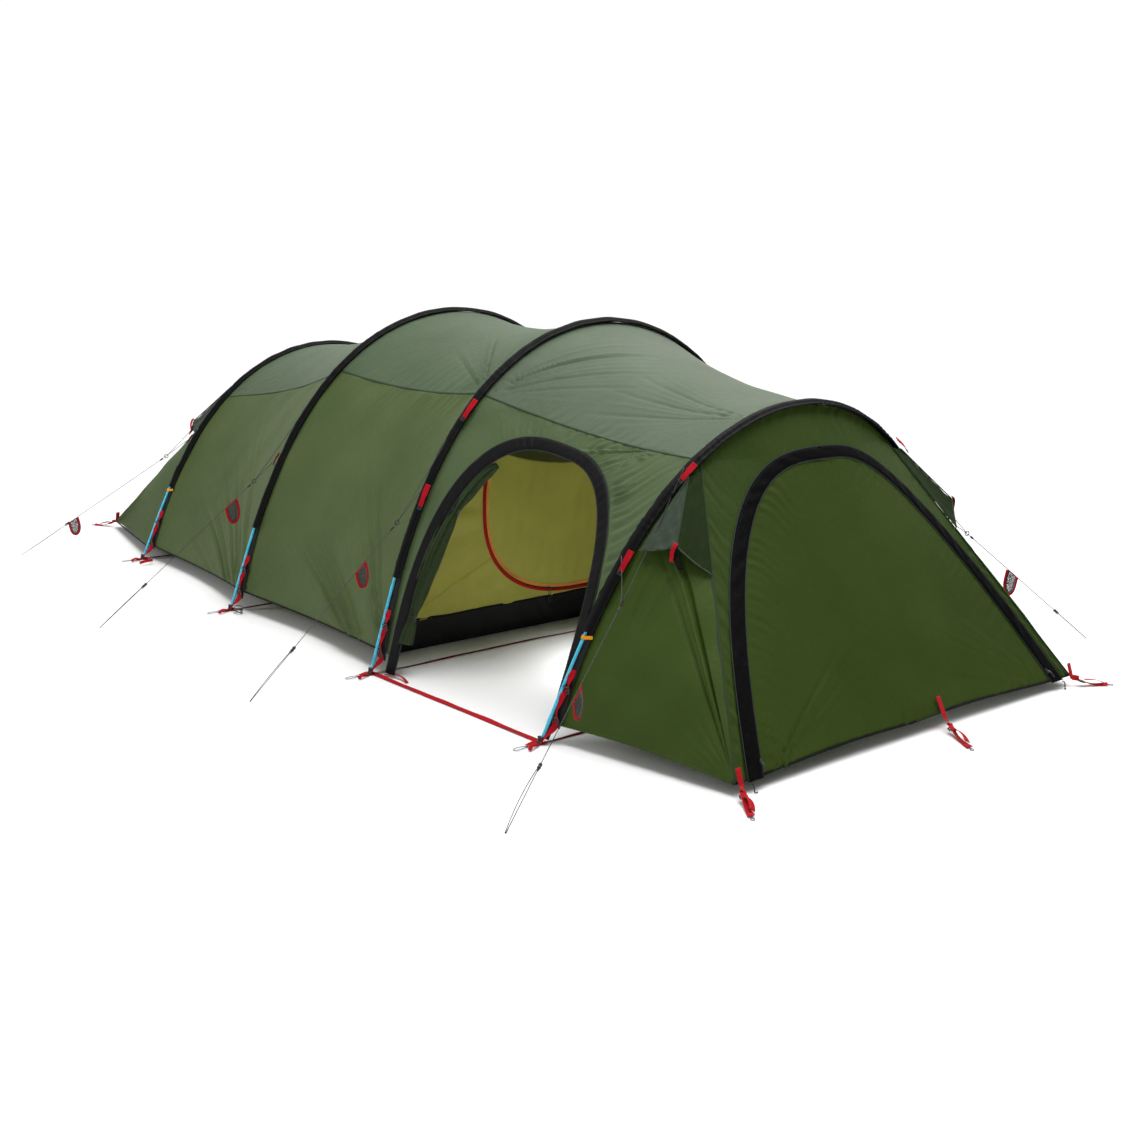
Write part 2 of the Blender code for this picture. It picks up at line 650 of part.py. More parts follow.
def build_cabin_ends():
    rear_x = TUB_REAR_X
    outline = [(rear_x, y, z) for y, z in cabin_end_outline(rear_x)]
    add_plate("inner_rear_wall", "inner", outline, (INNER_WALL, 0.0, 0.0))
    front_x_here = TUB_FRONT_X - 0.002
    outline = np.array(cabin_end_outline(front_x_here))
    turns = np.arctan2(outline[:, 1] - INNER_DOOR_Z, outline[:, 0])
    turns = np.where(turns < -math.pi / 2, turns + 2 * math.pi, turns)
    reach = np.hypot(outline[:, 1] - INNER_DOOR_Z, outline[:, 0])
    order = np.argsort(turns)
    bottom = np.linspace(-TUB_HALF_WIDTH, TUB_HALF_WIDTH, 5)[1:-1]
    rows, door = [], []
    for turn, length in zip(turns[order], reach[order]):
        y1, z1 = inner_door_edge(turn, DOOR_GAP)
        door.append(inner_door_edge(turn))
        y0, z0 = length * math.cos(turn), INNER_DOOR_Z + length * math.sin(turn)
        rows.append([(y0, z0), (0.5 * (y0 + y1), 0.5 * (z0 + z1)), (y1, z1)])
    for y0 in bottom:
        z0 = TUB_HEIGHT + 0.001
        turn = math.atan2(z0 - INNER_DOOR_Z, y0)
        y1, z1 = inner_door_edge(turn, DOOR_GAP)
        door.append(inner_door_edge(turn))
        rows.append([(y0, z0), (0.5 * (y0 + y1), 0.5 * (z0 + z1)), (y1, z1)])
    outside = np.array([[(front_x_here + INNER_WALL, y, z) for y, z in row] for row in rows])
    inside = outside - np.array([INNER_WALL, 0.0, 0.0])
    add_sheet("inner_front_wall", "inner", outside, inside, closed=True)
    hinge = (front_x_here + INNER_WALL / 2, INNER_DOOR_HALF_WIDTH, INNER_DOOR_Z)
    points = [(front_x_here, y, z) for y, z in door]
    add_plate("inner_door", "inner", points, (INNER_WALL, 0.0, 0.0), origin=hinge)


# ---- feet, straps and guy lines ------------------------------------------------------------------
def add_strip(name, stations):
    """A flat strap on the ground along Y: at each station its middle x, y, half width and thickness."""
    points, faces = [], []
    for x, y, half, thick in stations:
        points += [(x - half, y, 0.0), (x + half, y, 0.0), (x + half, y, thick), (x - half, y, thick)]
    for k in range(len(stations) - 1):
        for i in range(4):
            j = (i + 1) % 4
            faces.append((4 * k + i, 4 * k + j, 4 * k + 4 + j, 4 * k + 4 + i))
    last = 4 * (len(stations) - 1)
    faces += [(0, 1, 2, 3), (last + 3, last + 2, last + 1, last)]
    return add_mesh(name, "webbing", points, faces)


def foot_stations(arch, inner_y):
    """A foot on the near side: peg loop, pad under the pole, then the strap running inwards."""
    x, y = POLE_X[arch], -POLE_HALF_WIDTH[arch]
    narrow, wide = STRAP_HALF_WIDTH, 0.018
    return [
        (x, y - PEG_LOOP_REACH, narrow * 0.6, STRAP_THICKNESS),
        (x, y - 0.024, narrow, STRAP_THICKNESS),
        (x, y - 0.020, wide, FOOT_PAD_THICKNESS),
        (x, y + 0.020, wide, FOOT_PAD_THICKNESS),
        (x, y + 0.024, narrow, STRAP_THICKNESS),
        (x, inner_y, narrow, STRAP_THICKNESS),
    ]


def build_feet():
    """Pads and straps: one strap from foot to foot, or two short ones where the cabin floor is between."""
    for arch in range(4):
        through = arch != 1
        near = foot_stations(arch, 0.0 if through else -TUB_HALF_WIDTH - 0.002)
        far = [(x, -y, half, thick) for x, y, half, thick in near][::-1]
        if through:
            add_strip(f"foot_strap_{arch + 1}", near[:-1] + far[1:])
        else:
            add_strip(f"foot_strap_{arch + 1}_near", near)
            add_strip(f"foot_strap_{arch + 1}_far", far)


def build_side_straps():
    """The wide red straps that hold arches 3 and 4 apart across each side doorway."""
    start, end = POLE_X[2] + 0.020, POLE_X[3] - 0.020
    y0, y1 = 0.022 - POLE_HALF_WIDTH[2], 0.022 - POLE_HALF_WIDTH[3]
    half = 0.0125
    for label, side in SIDES.items():
        outline = [(start, y0 - half, 0.0), (end, y1 - half, 0.0)]
        outline += [(end, y1 + half, 0.0), (start, y0 + half, 0.0)]
        add_plate(f"side_strap_{label}", "webbing", mirrored(outline, side), (0.0, 0.0, STRAP_THICKNESS))


def guy_route(arch, side):
    """A guy line: from its tie on the sleeve to the point of its bridle, then straight to its peg."""
    far_front = (arch, side) == (3, FAR)
    tie = arch_point(arch, GUY_TIE_U[arch], -0.012)
    bridle = np.array(FAR_FRONT_BRIDLE if far_front else GUY_BRIDLE[arch])
    peg = np.array([*(FAR_FRONT_PEG if far_front else GUY_PEG[arch]), CORD_RADIUS + 0.0003])
    bend = bridle + (tie - bridle) * 0.25
    beyond = bridle + (peg - bridle) * 0.06
    turn = [(1 - t) ** 2 * bend + 2 * t * (1 - t) * bridle + t**2 * beyond for t in np.linspace(0, 1, 5)]
    run = [beyond + (peg - beyond) * t for t in (0.5, 1.0)]
    return mirrored([tie] + turn + run, side)


def runner_frame(arch, side):
    """The middle of a guy line's runner and the direction up the line."""
    route = guy_route(arch, side)
    upper, peg = route[-3], route[-1]
    return upper + (peg - upper) * RUNNER_SHARE[arch], (upper - peg) / np.linalg.norm(upper - peg)


def build_guy_lines():
    for arch in range(4):
        for label, side in SIDES.items():
            add_rod(f"guy_line_{arch + 1}_{label}", "cord", guy_route(arch, side), CORD_RADIUS, 2)
            build_runner(f"guy_runner_{arch + 1}_{label}", *runner_frame(arch, side))


def build_runner(name, middle, along):
    """A small ring of plastic round the line, which tightens it."""
    outer, bore, half = 0.006, 0.0024, 0.010
    turn = Vector((0, 0, 1)).rotation_difference(Vector(along)).to_matrix()
    grids = []
    for radius in (outer, bore):
        rows = []
        for t in np.linspace(0, 2 * math.pi, 8, endpoint=False):
            ring = [(radius * math.cos(t), radius * math.sin(t), z) for z in (-half, half)]
            rows.append([np.array(turn @ Vector(p)) + middle for p in ring])
        grids.append(np.array(rows))
    add_sheet(name, "plastic", *grids, closed=True, origin=tuple(middle))


clear_scene()
build_poles()
build_sleeves()
build_tunnel()
build_side_doorways()
build_front_wall()
build_rear_wall()
build_hems()
build_vent_hoods()
build_tub()
build_cabin_walls()
build_cabin_ends()
build_feet()
build_side_straps()
build_guy_lines()
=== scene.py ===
"""Four-pole tunnel tent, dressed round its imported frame: poles, fly, cabin, straps and guy lines.

Metres, +Z up, +X towards the front porch, and the near side is -Y.  The arches are numbered 0 to 3 from
the rear.  On each of them u runs from the near foot, 0, over the top to the far foot, 1, and between two
of them v runs forward from the rear one, 0, to the front one, 1.
"""

import math
import json

import bpy
import numpy as np
from mathutils import Matrix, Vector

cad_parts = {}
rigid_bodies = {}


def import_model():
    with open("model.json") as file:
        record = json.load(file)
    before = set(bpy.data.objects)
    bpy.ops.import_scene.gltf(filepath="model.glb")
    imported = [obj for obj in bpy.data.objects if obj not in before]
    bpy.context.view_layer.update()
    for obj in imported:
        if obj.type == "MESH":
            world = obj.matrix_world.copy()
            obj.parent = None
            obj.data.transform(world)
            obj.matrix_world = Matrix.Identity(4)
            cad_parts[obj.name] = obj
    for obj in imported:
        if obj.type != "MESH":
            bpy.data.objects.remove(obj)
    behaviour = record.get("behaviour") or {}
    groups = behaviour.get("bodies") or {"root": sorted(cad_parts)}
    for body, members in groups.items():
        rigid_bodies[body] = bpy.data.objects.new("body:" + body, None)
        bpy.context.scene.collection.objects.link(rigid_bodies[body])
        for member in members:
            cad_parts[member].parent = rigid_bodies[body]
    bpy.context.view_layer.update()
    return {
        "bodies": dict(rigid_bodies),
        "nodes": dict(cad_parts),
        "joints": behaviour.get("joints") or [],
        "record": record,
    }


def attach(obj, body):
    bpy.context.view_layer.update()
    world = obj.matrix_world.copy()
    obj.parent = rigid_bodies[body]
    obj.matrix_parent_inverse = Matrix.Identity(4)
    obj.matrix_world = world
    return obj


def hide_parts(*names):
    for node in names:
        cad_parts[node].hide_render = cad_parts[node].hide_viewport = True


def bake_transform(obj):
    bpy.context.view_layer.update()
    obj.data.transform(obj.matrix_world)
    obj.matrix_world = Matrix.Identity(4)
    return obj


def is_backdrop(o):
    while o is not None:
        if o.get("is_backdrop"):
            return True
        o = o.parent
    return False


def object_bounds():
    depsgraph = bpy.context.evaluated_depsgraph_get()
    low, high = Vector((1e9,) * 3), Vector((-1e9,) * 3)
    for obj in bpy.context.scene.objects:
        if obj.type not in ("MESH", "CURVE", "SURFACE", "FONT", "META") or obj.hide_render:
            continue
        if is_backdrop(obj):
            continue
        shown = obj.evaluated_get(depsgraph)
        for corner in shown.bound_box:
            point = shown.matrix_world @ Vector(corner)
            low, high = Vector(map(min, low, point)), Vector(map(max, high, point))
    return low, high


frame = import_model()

# ==== camera, floor and light ====
# The tent is seen standing, from in front of its near front corner, on a white studio floor.  A soft sun
# stands over it, with one lamp above the porch, a small one under its roof and one beside the near side.
# The room glows grey, and white where it is the backdrop.
camera_data = bpy.data.cameras.new("camera")
camera_data.sensor_width = 36.0
camera_data.lens = 43.55
camera = bpy.data.objects.new("camera", camera_data)
turn, tilt, roll = math.radians(51.52), math.radians(90 - 13.36), math.radians(0.51)
aim = Matrix.Rotation(turn, 3, "Z") @ Matrix.Rotation(tilt, 3, "X") @ Matrix.Rotation(roll, 3, "Z")
camera.location = (4.897, -3.508, 1.537)
camera.rotation_euler = aim.to_euler()
bpy.context.scene.collection.objects.link(camera)
bpy.context.scene.camera = camera
bpy.context.scene.view_settings.view_transform = "Standard"

floor_mesh = bpy.data.meshes.new("floor")
floor_corners = [(-40, -40, -0.0006), (40, -40, -0.0006), (40, 40, -0.0006), (-40, 40, -0.0006)]
floor_mesh.from_pydata(floor_corners, [], [(0, 1, 2, 3)])
floor_paint = bpy.data.materials.new("studio_floor")
floor_paint.use_nodes = True
floor_shader = floor_paint.node_tree.nodes["Principled BSDF"]
floor_shader.inputs["Base Color"].default_value = (0.93, 0.93, 0.93, 1)
floor_shader.inputs["Roughness"].default_value = 0.9
floor_shader.inputs["Specular IOR Level"].default_value = 0.1
floor_mesh.materials.append(floor_paint)
floor = bpy.data.objects.new("floor", floor_mesh)
bpy.context.scene.collection.objects.link(floor)
floor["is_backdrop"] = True

def add_node(tree, kind, **values):
    """A shader node of that kind, its named properties or sockets set."""
    made = tree.nodes.new("ShaderNode" + kind)
    for key, value in values.items():
        if key in made.inputs:
            made.inputs[key].default_value = value
        else:
            setattr(made, key.lower(), value)
    return made


def mix_colours(tree, factor, first, second):
    """A colour mix between two colours, each a socket or four numbers, by a socket's factor."""
    mix = tree.nodes.new("ShaderNodeMix")
    mix.data_type = "RGBA"
    tree.links.new(factor, mix.inputs[0])
    for socket, value in ((mix.inputs[6], first), (mix.inputs[7], second)):
        if isinstance(value, bpy.types.NodeSocket):
            tree.links.new(value, socket)
        else:
            socket.default_value = (*value[:3], 1.0)
    return mix.outputs[2]


def remap(tree, value, low=0.0, high=1.0, to_low=0.0, to_high=1.0):
    """A socket's value carried in a straight line from one range to another, and held within it."""
    node = add_node(tree, "MapRange")
    for key, number in zip(("From Min", "From Max", "To Min", "To Max"), (low, high, to_low, to_high)):
        node.inputs[key].default_value = number
    tree.links.new(value, node.inputs["Value"])
    return node.outputs["Result"]


studio = bpy.data.worlds.new("studio")
studio.use_nodes = True
tree = studio.node_tree
towards_backdrop = add_node(tree, "VectorMath", operation="DOT_PRODUCT")
towards_backdrop.inputs[1].default_value = (-0.783, 0.622, 0.0)
tree.links.new(add_node(tree, "TexCoord").outputs["Generated"], towards_backdrop.inputs[0])
backdrop = remap(tree, towards_backdrop.outputs["Value"], 0.45, 0.82)
sky = mix_colours(tree, backdrop, (0.30, 0.30, 0.30), (1.02, 1.02, 1.02))
tree.links.new(sky, tree.nodes["Background"].inputs["Color"])
bpy.context.scene.world = studio


def hang_light(name, place, towards, size, watts, spread=math.pi):
    """A square soft light of that size, at its place and facing the point that it lights."""
    data = bpy.data.lights.new(name, "AREA")
    data.energy, data.size, data.spread = watts, size, spread
    light = bpy.data.objects.new(name, data)
    way = np.array(towards, float) - np.array(place, float)
    light.location = place
    light.rotation_euler = (math.atan2(math.hypot(way[0], way[1]), -way[2]), 0, math.atan2(-way[0], way[1]))
    bpy.context.scene.collection.objects.link(light)


overhead = bpy.data.lights.new("overhead", "SUN")
overhead.energy, overhead.angle = 2.6, 1.1
ceiling_light = bpy.data.objects.new("overhead", overhead)
ceiling_light.rotation_euler = (math.radians(-22), math.radians(-6), 0.0)
bpy.context.scene.collection.objects.link(ceiling_light)
hang_light("porch_light", (1.8, -0.6, 5.2), (1.1, 0.0, 1.0), 2.4, 95)
hang_light("porch_fill", (1.24, -0.10, 0.80), (1.24, -0.22, 0.0), 0.40, 3.2, 1.1)
hang_light("side_light", (-2.6, -5.6, 2.6), (-0.4, -0.8, 0.6), 1.6, 60)

# ==== the bent poles ====
# Four poles of anodised aluminium tube, each of short sections pushed together over thinner inserts.
# They stand bent in their sleeves, and only their bright blue ends show below.
ARCH_X = (-1.551, -0.408, 0.718, 1.656)
ARCH_LEAN = (0.005, 0.040, -0.014, 0.089)
ARCH_HALF_WIDTH = (1.053, 1.122, 1.099, 1.038)
ARCH_HEIGHT = (1.018, 1.238, 1.242, 1.019)
BEND_GROWTH = 2.2
POLE_RADIUS = 0.0055
POLE_END_Z = 0.0085
SLEEVE_FOOT_Z = 0.345
NEAR, FAR = -1, 1
SIDE_NAMES = {NEAR: "near", FAR: "far"}


def bent_arch(half_width, height, steps=800):
    """A whole bent pole as u, y and z.

    The cosine of its slope grows with height, as height to the power 1 over BEND_GROWTH, from the foot's
    value to 1 at the top, and the foot's value is found by halving until the arch has its width.
    """

    def leg(foot_cosine):
        slope = np.linspace(math.acos(foot_cosine), 0.0, steps + 1)
        share = np.clip((np.cos(slope) - foot_cosine) / (1 - foot_cosine), 0, 1)
        z = height * share ** (1 / BEND_GROWTH)
        run = np.diff(z) / np.tan(0.5 * (slope[:-1] + slope[1:]))
        return np.concatenate([[0.0], np.cumsum(run)]), z

    low, high = -0.5, 0.99
    for _ in range(60):
        middle = 0.5 * (low + high)
        low, high = (middle, high) if leg(middle)[0][-1] < half_width else (low, middle)
    y, z = leg(0.5 * (low + high))
    y = y - y[-1]
    length = np.concatenate([[0.0], np.cumsum(np.hypot(np.diff(y), np.diff(z)))])
    u = 0.5 * length / length[-1]
    return np.append(u, 1 - u[-2::-1]), np.append(y, -y[-2::-1]), np.append(z, z[-2::-1])


arches = [bent_arch(half_width, height) for half_width, height in zip(ARCH_HALF_WIDTH, ARCH_HEIGHT)]


def arch_at(arch, u, depth=0.0):
    """Points of an arch at u, moved inwards by depth along the normal to its bend."""
    us, ys, zs = arches[arch]
    u = np.asarray(u, float)
    run = np.interp(u + 0.004, us, ys) - np.interp(u - 0.004, us, ys)
    rise = np.interp(u + 0.004, us, zs) - np.interp(u - 0.004, us, zs)
    size = np.hypot(run, rise)
    y = np.interp(u, us, ys) + depth * rise / size
    z = np.interp(u, us, zs) - depth * run / size
    return np.stack([ARCH_X[arch] + ARCH_LEAN[arch] * z, y, z], -1)


def arch_u(arch, height):
    """The u at which an arch's near leg reaches a height."""
    us, _, zs = arches[arch]
    half = len(us) // 2 + 1
    return float(np.interp(height, zs[:half], us[:half]))


def frames_along(path, up=(0.0, 0.0, 1.0)):
    """Unit vectors along, across and out of a path at each of its points, out staying close to up."""
    along = np.gradient(path, axis=0)
    along /= np.linalg.norm(along, axis=1, keepdims=True)
    across = np.cross(along, np.broadcast_to(up, along.shape))
    across /= np.linalg.norm(across, axis=1, keepdims=True)
    return along, across, np.cross(across, along)


def add_grid(name, points, material, closed=False, capped=False, uv=None):
    """A mesh from a grid of points, smooth, with a UV map in metres along its rows and columns.

    closed joins each row's last point to its first, as round a tube, and capped fills a tube's two ends.
    """
    rows, columns = points.shape[:2]
    index = np.arange(rows * columns).reshape(rows, columns)
    if closed:
        index = np.concatenate([index, index[:, :1]], axis=1)
    quads = np.stack([index[:-1, :-1], index[:-1, 1:], index[1:, 1:], index[1:, :-1]], -1).reshape(-1, 4)
    faces = quads.tolist()
    if capped:
        faces += [index[0, :columns][::-1].tolist(), index[-1, :columns].tolist()]
    mesh = bpy.data.meshes.new(name)
    mesh.from_pydata(points.reshape(-1, 3), [], faces)
    middle_row, middle_column = points[rows // 2], points[:, columns // 2]
    across = np.linalg.norm(np.diff(middle_row, axis=0, append=middle_row[:1]), axis=1)
    across = np.concatenate([[0.0], np.cumsum(across)])[: index.shape[1]]
    along = np.concatenate([[0.0], np.cumsum(np.linalg.norm(np.diff(middle_column, axis=0), axis=1))])
    spots = np.stack(np.broadcast_arrays(across[None, :], along[:, None]), -1) if uv is None else uv
    corners = [spots[:-1, :-1], spots[:-1, 1:], spots[1:, 1:], spots[1:, :-1]]
    loops = np.stack(corners, -2).reshape(-1, 2)
    if capped:
        loops = np.concatenate([loops, np.zeros((2 * columns, 2))])
    layer = mesh.uv_layers.new(name="cloth")
    layer.data.foreach_set("uv", loops.astype(np.float32).ravel())
    mesh.polygons.foreach_set("use_smooth", np.ones(len(faces), bool))
    mesh.materials.append(material)
    piece = bpy.data.objects.new(name, mesh)
    bpy.context.scene.collection.objects.link(piece)
    return piece


def add_tube(name, path, radius, sides, material, up=(0.0, 0.0, 1.0)):
    """A round tube along a path: each ring is centre + radius (cos t across + sin t out), its ends capped.

    The radius is one number or one for each point of the path.
    """
    _, across, out = frames_along(path, up)
    t = np.linspace(0, 2 * math.pi, sides, endpoint=False)[None, :, None]
    reach = np.broadcast_to(radius, len(path))[:, None, None]
    rings = path[:, None] + reach * (np.cos(t) * across[:, None] + np.sin(t) * out[:, None])
    return add_grid(name, rings, material, closed=True, capped=True)


def new_material(name, roughness, metallic=0.0, specular=0.5, sheen=0.0):
    """A material with a Principled shader, and that shader."""
    material = bpy.data.materials.new(name)
    material.use_nodes = True
    shader = material.node_tree.nodes["Principled BSDF"]
    shader.inputs["Roughness"].default_value = roughness
    shader.inputs["Metallic"].default_value = metallic
    shader.inputs["Specular IOR Level"].default_value = specular
    shader.inputs["Sheen Weight"].default_value = sheen
    return material, shader


def press(tree, height, shader, strength, distance):
    """Relief in a finish: that distance out where the socket's value is 1."""
    bump = add_node(tree, "Bump", Strength=strength, Distance=distance)
    tree.links.new(height, bump.inputs["Height"])
    tree.links.new(bump.outputs["Normal"], shader.inputs["Normal"])


anodised, pole_shader = new_material("anodised_blue", 0.34, metallic=0.35)
tree = anodised.node_tree
place = add_node(tree, "TexCoord").outputs["Object"]
scuffs = add_node(tree, "TexNoise", Scale=90.0, Detail=6.0, Roughness=0.7)
tree.links.new(place, scuffs.inputs["Vector"])
grain = add_node(tree, "TexNoise", Scale=900.0, Detail=2.0)
tree.links.new(place, grain.inputs["Vector"])
pick = add_node(tree, "ValToRGB")
pick.color_ramp.elements[0].position, pick.color_ramp.elements[1].position = 0.42, 0.78
tree.links.new(scuffs.outputs["Fac"], pick.inputs["Fac"])
blue = mix_colours(tree, pick.outputs["Color"], (0.05, 0.55, 0.82), (0.20, 0.72, 0.92))
tree.links.new(blue, pole_shader.inputs["Base Color"])
shine = remap(tree, scuffs.outputs["Fac"], to_low=0.24, to_high=0.46)
tree.links.new(shine, pole_shader.inputs["Roughness"])
press(tree, grain.outputs["Fac"], pole_shader, 0.15, 0.0004)

SECTION_LENGTH = 0.42
for arch in range(4):
    foot = arch_u(arch, POLE_END_Z)
    u = np.linspace(foot, 1 - foot, 420)
    path = arch_at(arch, u)
    length = np.concatenate([[0.0], np.cumsum(np.linalg.norm(np.diff(path, axis=0), axis=1))])
    from_joint = np.abs((length - length[-1] / 2) / SECTION_LENGTH % 1.0 - 0.5) * SECTION_LENGTH
    collar = 0.0006 * np.clip(1.5 - from_joint / 0.012, 0, 1)
    tip = np.clip(np.minimum(length, length[-1] - length) / 0.006, 0.35, 1)
    tube_radius = (POLE_RADIUS + collar) * tip
    pole = add_tube(f"pole_tube_{arch + 1}", path, tube_radius, 20, anodised, (1.0, 0.0, 0.0))
    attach(pole, "tent")
    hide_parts(f"pole_{arch + 1}")

# ==== pole sleeves ====
# Each sleeve is a flat tube of black cloth, stitched to the fly by a narrow flange on either side.
# The pole fills its middle, so the cloth stands proud over it and puckers a little along the stitching.
SLEEVE_HALF = (0.0215, 0.0225, 0.0235, 0.0265)
SLEEVE_CROWN = 0.0085
FLY_DEPTH = 0.0105


def combine(tree, operation, first, second):
    """Two values put together by a Math node, each a socket or a number."""
    node = add_node(tree, "Math", operation=operation)
    for socket, value in zip(node.inputs, (first, second)):
        if isinstance(value, bpy.types.NodeSocket):
            tree.links.new(value, socket)
        else:
            socket.default_value = value
    return node.outputs[0]


def cloth_group():
    """Woven, coated nylon: a fine square ripstop grid on its yarns, soft crinkles and mottled dye."""
    group = bpy.data.node_groups.new("woven_cloth", "ShaderNodeTree")
    for label, kind in (("Light", "Color"), ("Dark", "Color"), ("Ripstop", "Float"), ("Crinkle", "Float")):
        group.interface.new_socket(label, in_out="INPUT", socket_type="NodeSocket" + kind)
    for label, kind in (("Color", "Color"), ("Height", "Float"), ("Gloss", "Float")):
        group.interface.new_socket(label, in_out="OUTPUT", socket_type="NodeSocket" + kind)
    asked, given = group.nodes.new("NodeGroupInput"), group.nodes.new("NodeGroupOutput")
    link = group.links.new
    where = add_node(group, "UVMap", uv_map="cloth")
    solid = add_node(group, "TexCoord").outputs["Object"]
    lines = []
    for direction in ("X", "Y"):
        cells = add_node(group, "TexWave", Scale=50.0, Distortion=0.0)
        cells.bands_direction = direction
        link(where.outputs["UV"], cells.inputs["Vector"])
        lines.append(combine(group, "POWER", cells.outputs["Fac"], 14.0))
    ripstop = combine(group, "MULTIPLY", combine(group, "MAXIMUM", *lines), asked.outputs["Ripstop"])
    mottle = add_node(group, "TexNoise", Scale=2.3, Detail=3.0, Roughness=0.55)
    link(solid, mottle.inputs["Vector"])
    crinkle = add_node(group, "TexNoise", Scale=34.0, Detail=5.0, Roughness=0.62, Distortion=0.6)
    link(solid, crinkle.inputs["Vector"])
    spread = remap(group, mottle.outputs["Fac"], 0.32, 0.68)
    tone = mix_colours(group, spread, asked.outputs["Dark"], asked.outputs["Light"])
    fleck = combine(group, "MULTIPLY", ripstop, 0.22)
    link(mix_colours(group, fleck, tone, asked.outputs["Dark"]), given.inputs["Color"])
    folds = combine(group, "MULTIPLY", crinkle.outputs["Fac"], asked.outputs["Crinkle"])
    link(combine(group, "ADD", folds, combine(group, "MULTIPLY", ripstop, 0.05)), given.inputs["Height"])
    link(remap(group, crinkle.outputs["Fac"], to_low=0.46, to_high=0.66), given.inputs["Gloss"])
    return group


woven_cloth = cloth_group()


def cloth_material(name, light, dark, ripstop=1.0, crinkle=1.0, specular=0.20, sheen=0.0, glow=0.0):
    """A cloth of two close tones.  glow stands for the daylight that comes through thin cloth."""
    material, shader = new_material(name, 0.55, specular=specular, sheen=sheen)
    tree = material.node_tree
    cloth = tree.nodes.new("ShaderNodeGroup")
    cloth.node_tree = woven_cloth
    cloth.inputs["Light"].default_value = (*light, 1.0)
    cloth.inputs["Dark"].default_value = (*dark, 1.0)
    cloth.inputs["Ripstop"].default_value = ripstop
    cloth.inputs["Crinkle"].default_value = crinkle
    tree.links.new(cloth.outputs["Color"], shader.inputs["Base Color"])
    tree.links.new(cloth.outputs["Gloss"], shader.inputs["Roughness"])
    press(tree, cloth.outputs["Height"], shader, 0.5, 0.004)
    if glow:
        tree.links.new(cloth.outputs["Color"], shader.inputs["Emission Color"])
        shader.inputs["Emission Strength"].default_value = glow
    return material


sleeve_cloth = cloth_material("sleeve_cloth", (0.0065, 0.0065, 0.007), (0.003, 0.003, 0.0035), specular=0.10)


def random_wave(t, seed, waves=9):
    """A smooth random wave with about one swing to each unit of t: a sum of sines of mixed rates."""
    draw = np.random.default_rng(seed)
    rates, starts = draw.uniform(0.45, 1.7, waves), draw.uniform(0, 2 * math.pi, waves)
    sizes = draw.uniform(0.5, 1.0, waves)
    total = (sizes * np.sin(2 * math.pi * np.asarray(t)[..., None] * rates + starts)).sum(-1)
    return total / math.sqrt(0.5 * (sizes**2).sum()) * 0.6


for arch in range(4):
    foot = arch_u(arch, SLEEVE_FOOT_Z)
    u = np.linspace(foot, 1 - foot, 380)
    centre = arch_at(arch, u)
    inward = arch_at(arch, u, 1.0) - centre
    s = np.array([-1, -0.93, -0.62, -0.5, -0.34, -0.17, 0, 0.17, 0.34, 0.5, 0.62, 0.93, 1])
    crown = SLEEVE_CROWN * np.sqrt(np.clip(1 - (np.abs(s) / 0.55) ** 2, 0, 1))
    lift = np.where(np.abs(s) < 0.55, crown, -0.004)
    lift[[0, -1]] = -0.0045
    pucker = 0.0009 * random_wave(u * 90, 11 + arch)[:, None] * (np.abs(s) > 0.3)
    ease = 0.0012 * random_wave(u * 17, 21 + arch)[:, None]
    outer = centre[:, None] - inward[:, None] * (lift + pucker + ease)[..., None]
    outer[..., 0] += (s * SLEEVE_HALF[arch])[None, :] * (1 + 0.05 * random_wave(u * 40, 31 + arch)[:, None])
    under = centre[:, None] + inward[:, None] * (FLY_DEPTH - 0.001)
    under = under + np.array([1.0, 0, 0]) * (s[::-1, None] * SLEEVE_HALF[arch] * 0.96)
    tube = np.concatenate([outer, under], axis=1)
    sleeve = add_grid(f"sleeve_{arch + 1}", tube[::-1], sleeve_cloth, closed=True, capped=True)
    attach(sleeve, "tent")
    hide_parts(f"pole_sleeve_{arch + 1}")

# ==== guy lines ====
# Each arch has a guy line on either side, of braided cord with a pale tracer.  Two legs leave the sleeve
# and meet in a small ring; from there the line runs to a runner, and doubled from the runner to its peg.
GUY_TIE_U = (0.209, 0.1915, 0.1935, 0.207)
GUY_UPPER_U = (0.300, 0.2945, 0.2945, 0.320)
GUY_BRIDLE = (
    (-1.621, -0.873, 0.487),
    (-0.406, -0.988, 0.543),
    (0.718, -0.974, 0.549),
    (1.813, -0.844, 0.461),
)
GUY_PEG = ((-1.990, -1.496), (-0.464, -1.661), (0.741, -1.584), (2.136, -1.517))
FAR_FRONT_BRIDLE = (1.814, -0.892, 0.464)
FAR_FRONT_PEG = (2.026, -1.442)
RUNNER_SHARE = (0.66, 0.70, 0.70, 0.72)
POCKET_SHARE = (0.62, 0.10, 0.21, 0.40)
CORD_RADIUS = 0.00125


def cord_material(name, light, dark):
    """Braided cord: two tones in a slanting check that follows the cord."""
    material, shader = new_material(name, 0.75, specular=0.3, sheen=0.3)
    tree = material.node_tree
    where = add_node(tree, "UVMap", uv_map="cloth")
    slant = add_node(tree, "Mapping")
    slant.inputs["Rotation"].default_value = (0, 0, math.radians(32))
    tree.links.new(where.outputs["UV"], slant.inputs["Vector"])
    braid = add_node(tree, "TexChecker", Scale=520.0)
    tree.links.new(slant.outputs["Vector"], braid.inputs["Vector"])
    tone = mix_colours(tree, braid.outputs["Fac"], dark, light)
    tree.links.new(tone, shader.inputs["Base Color"])
    press(tree, braid.outputs["Fac"], shader, 0.6, 0.0004)
    return material


guy_cord = cord_material("guy_cord", (0.055, 0.060, 0.060), (0.014, 0.016, 0.016))
black_cord = cord_material("black_cord", (0.03, 0.03, 0.03), (0.008, 0.008, 0.008))


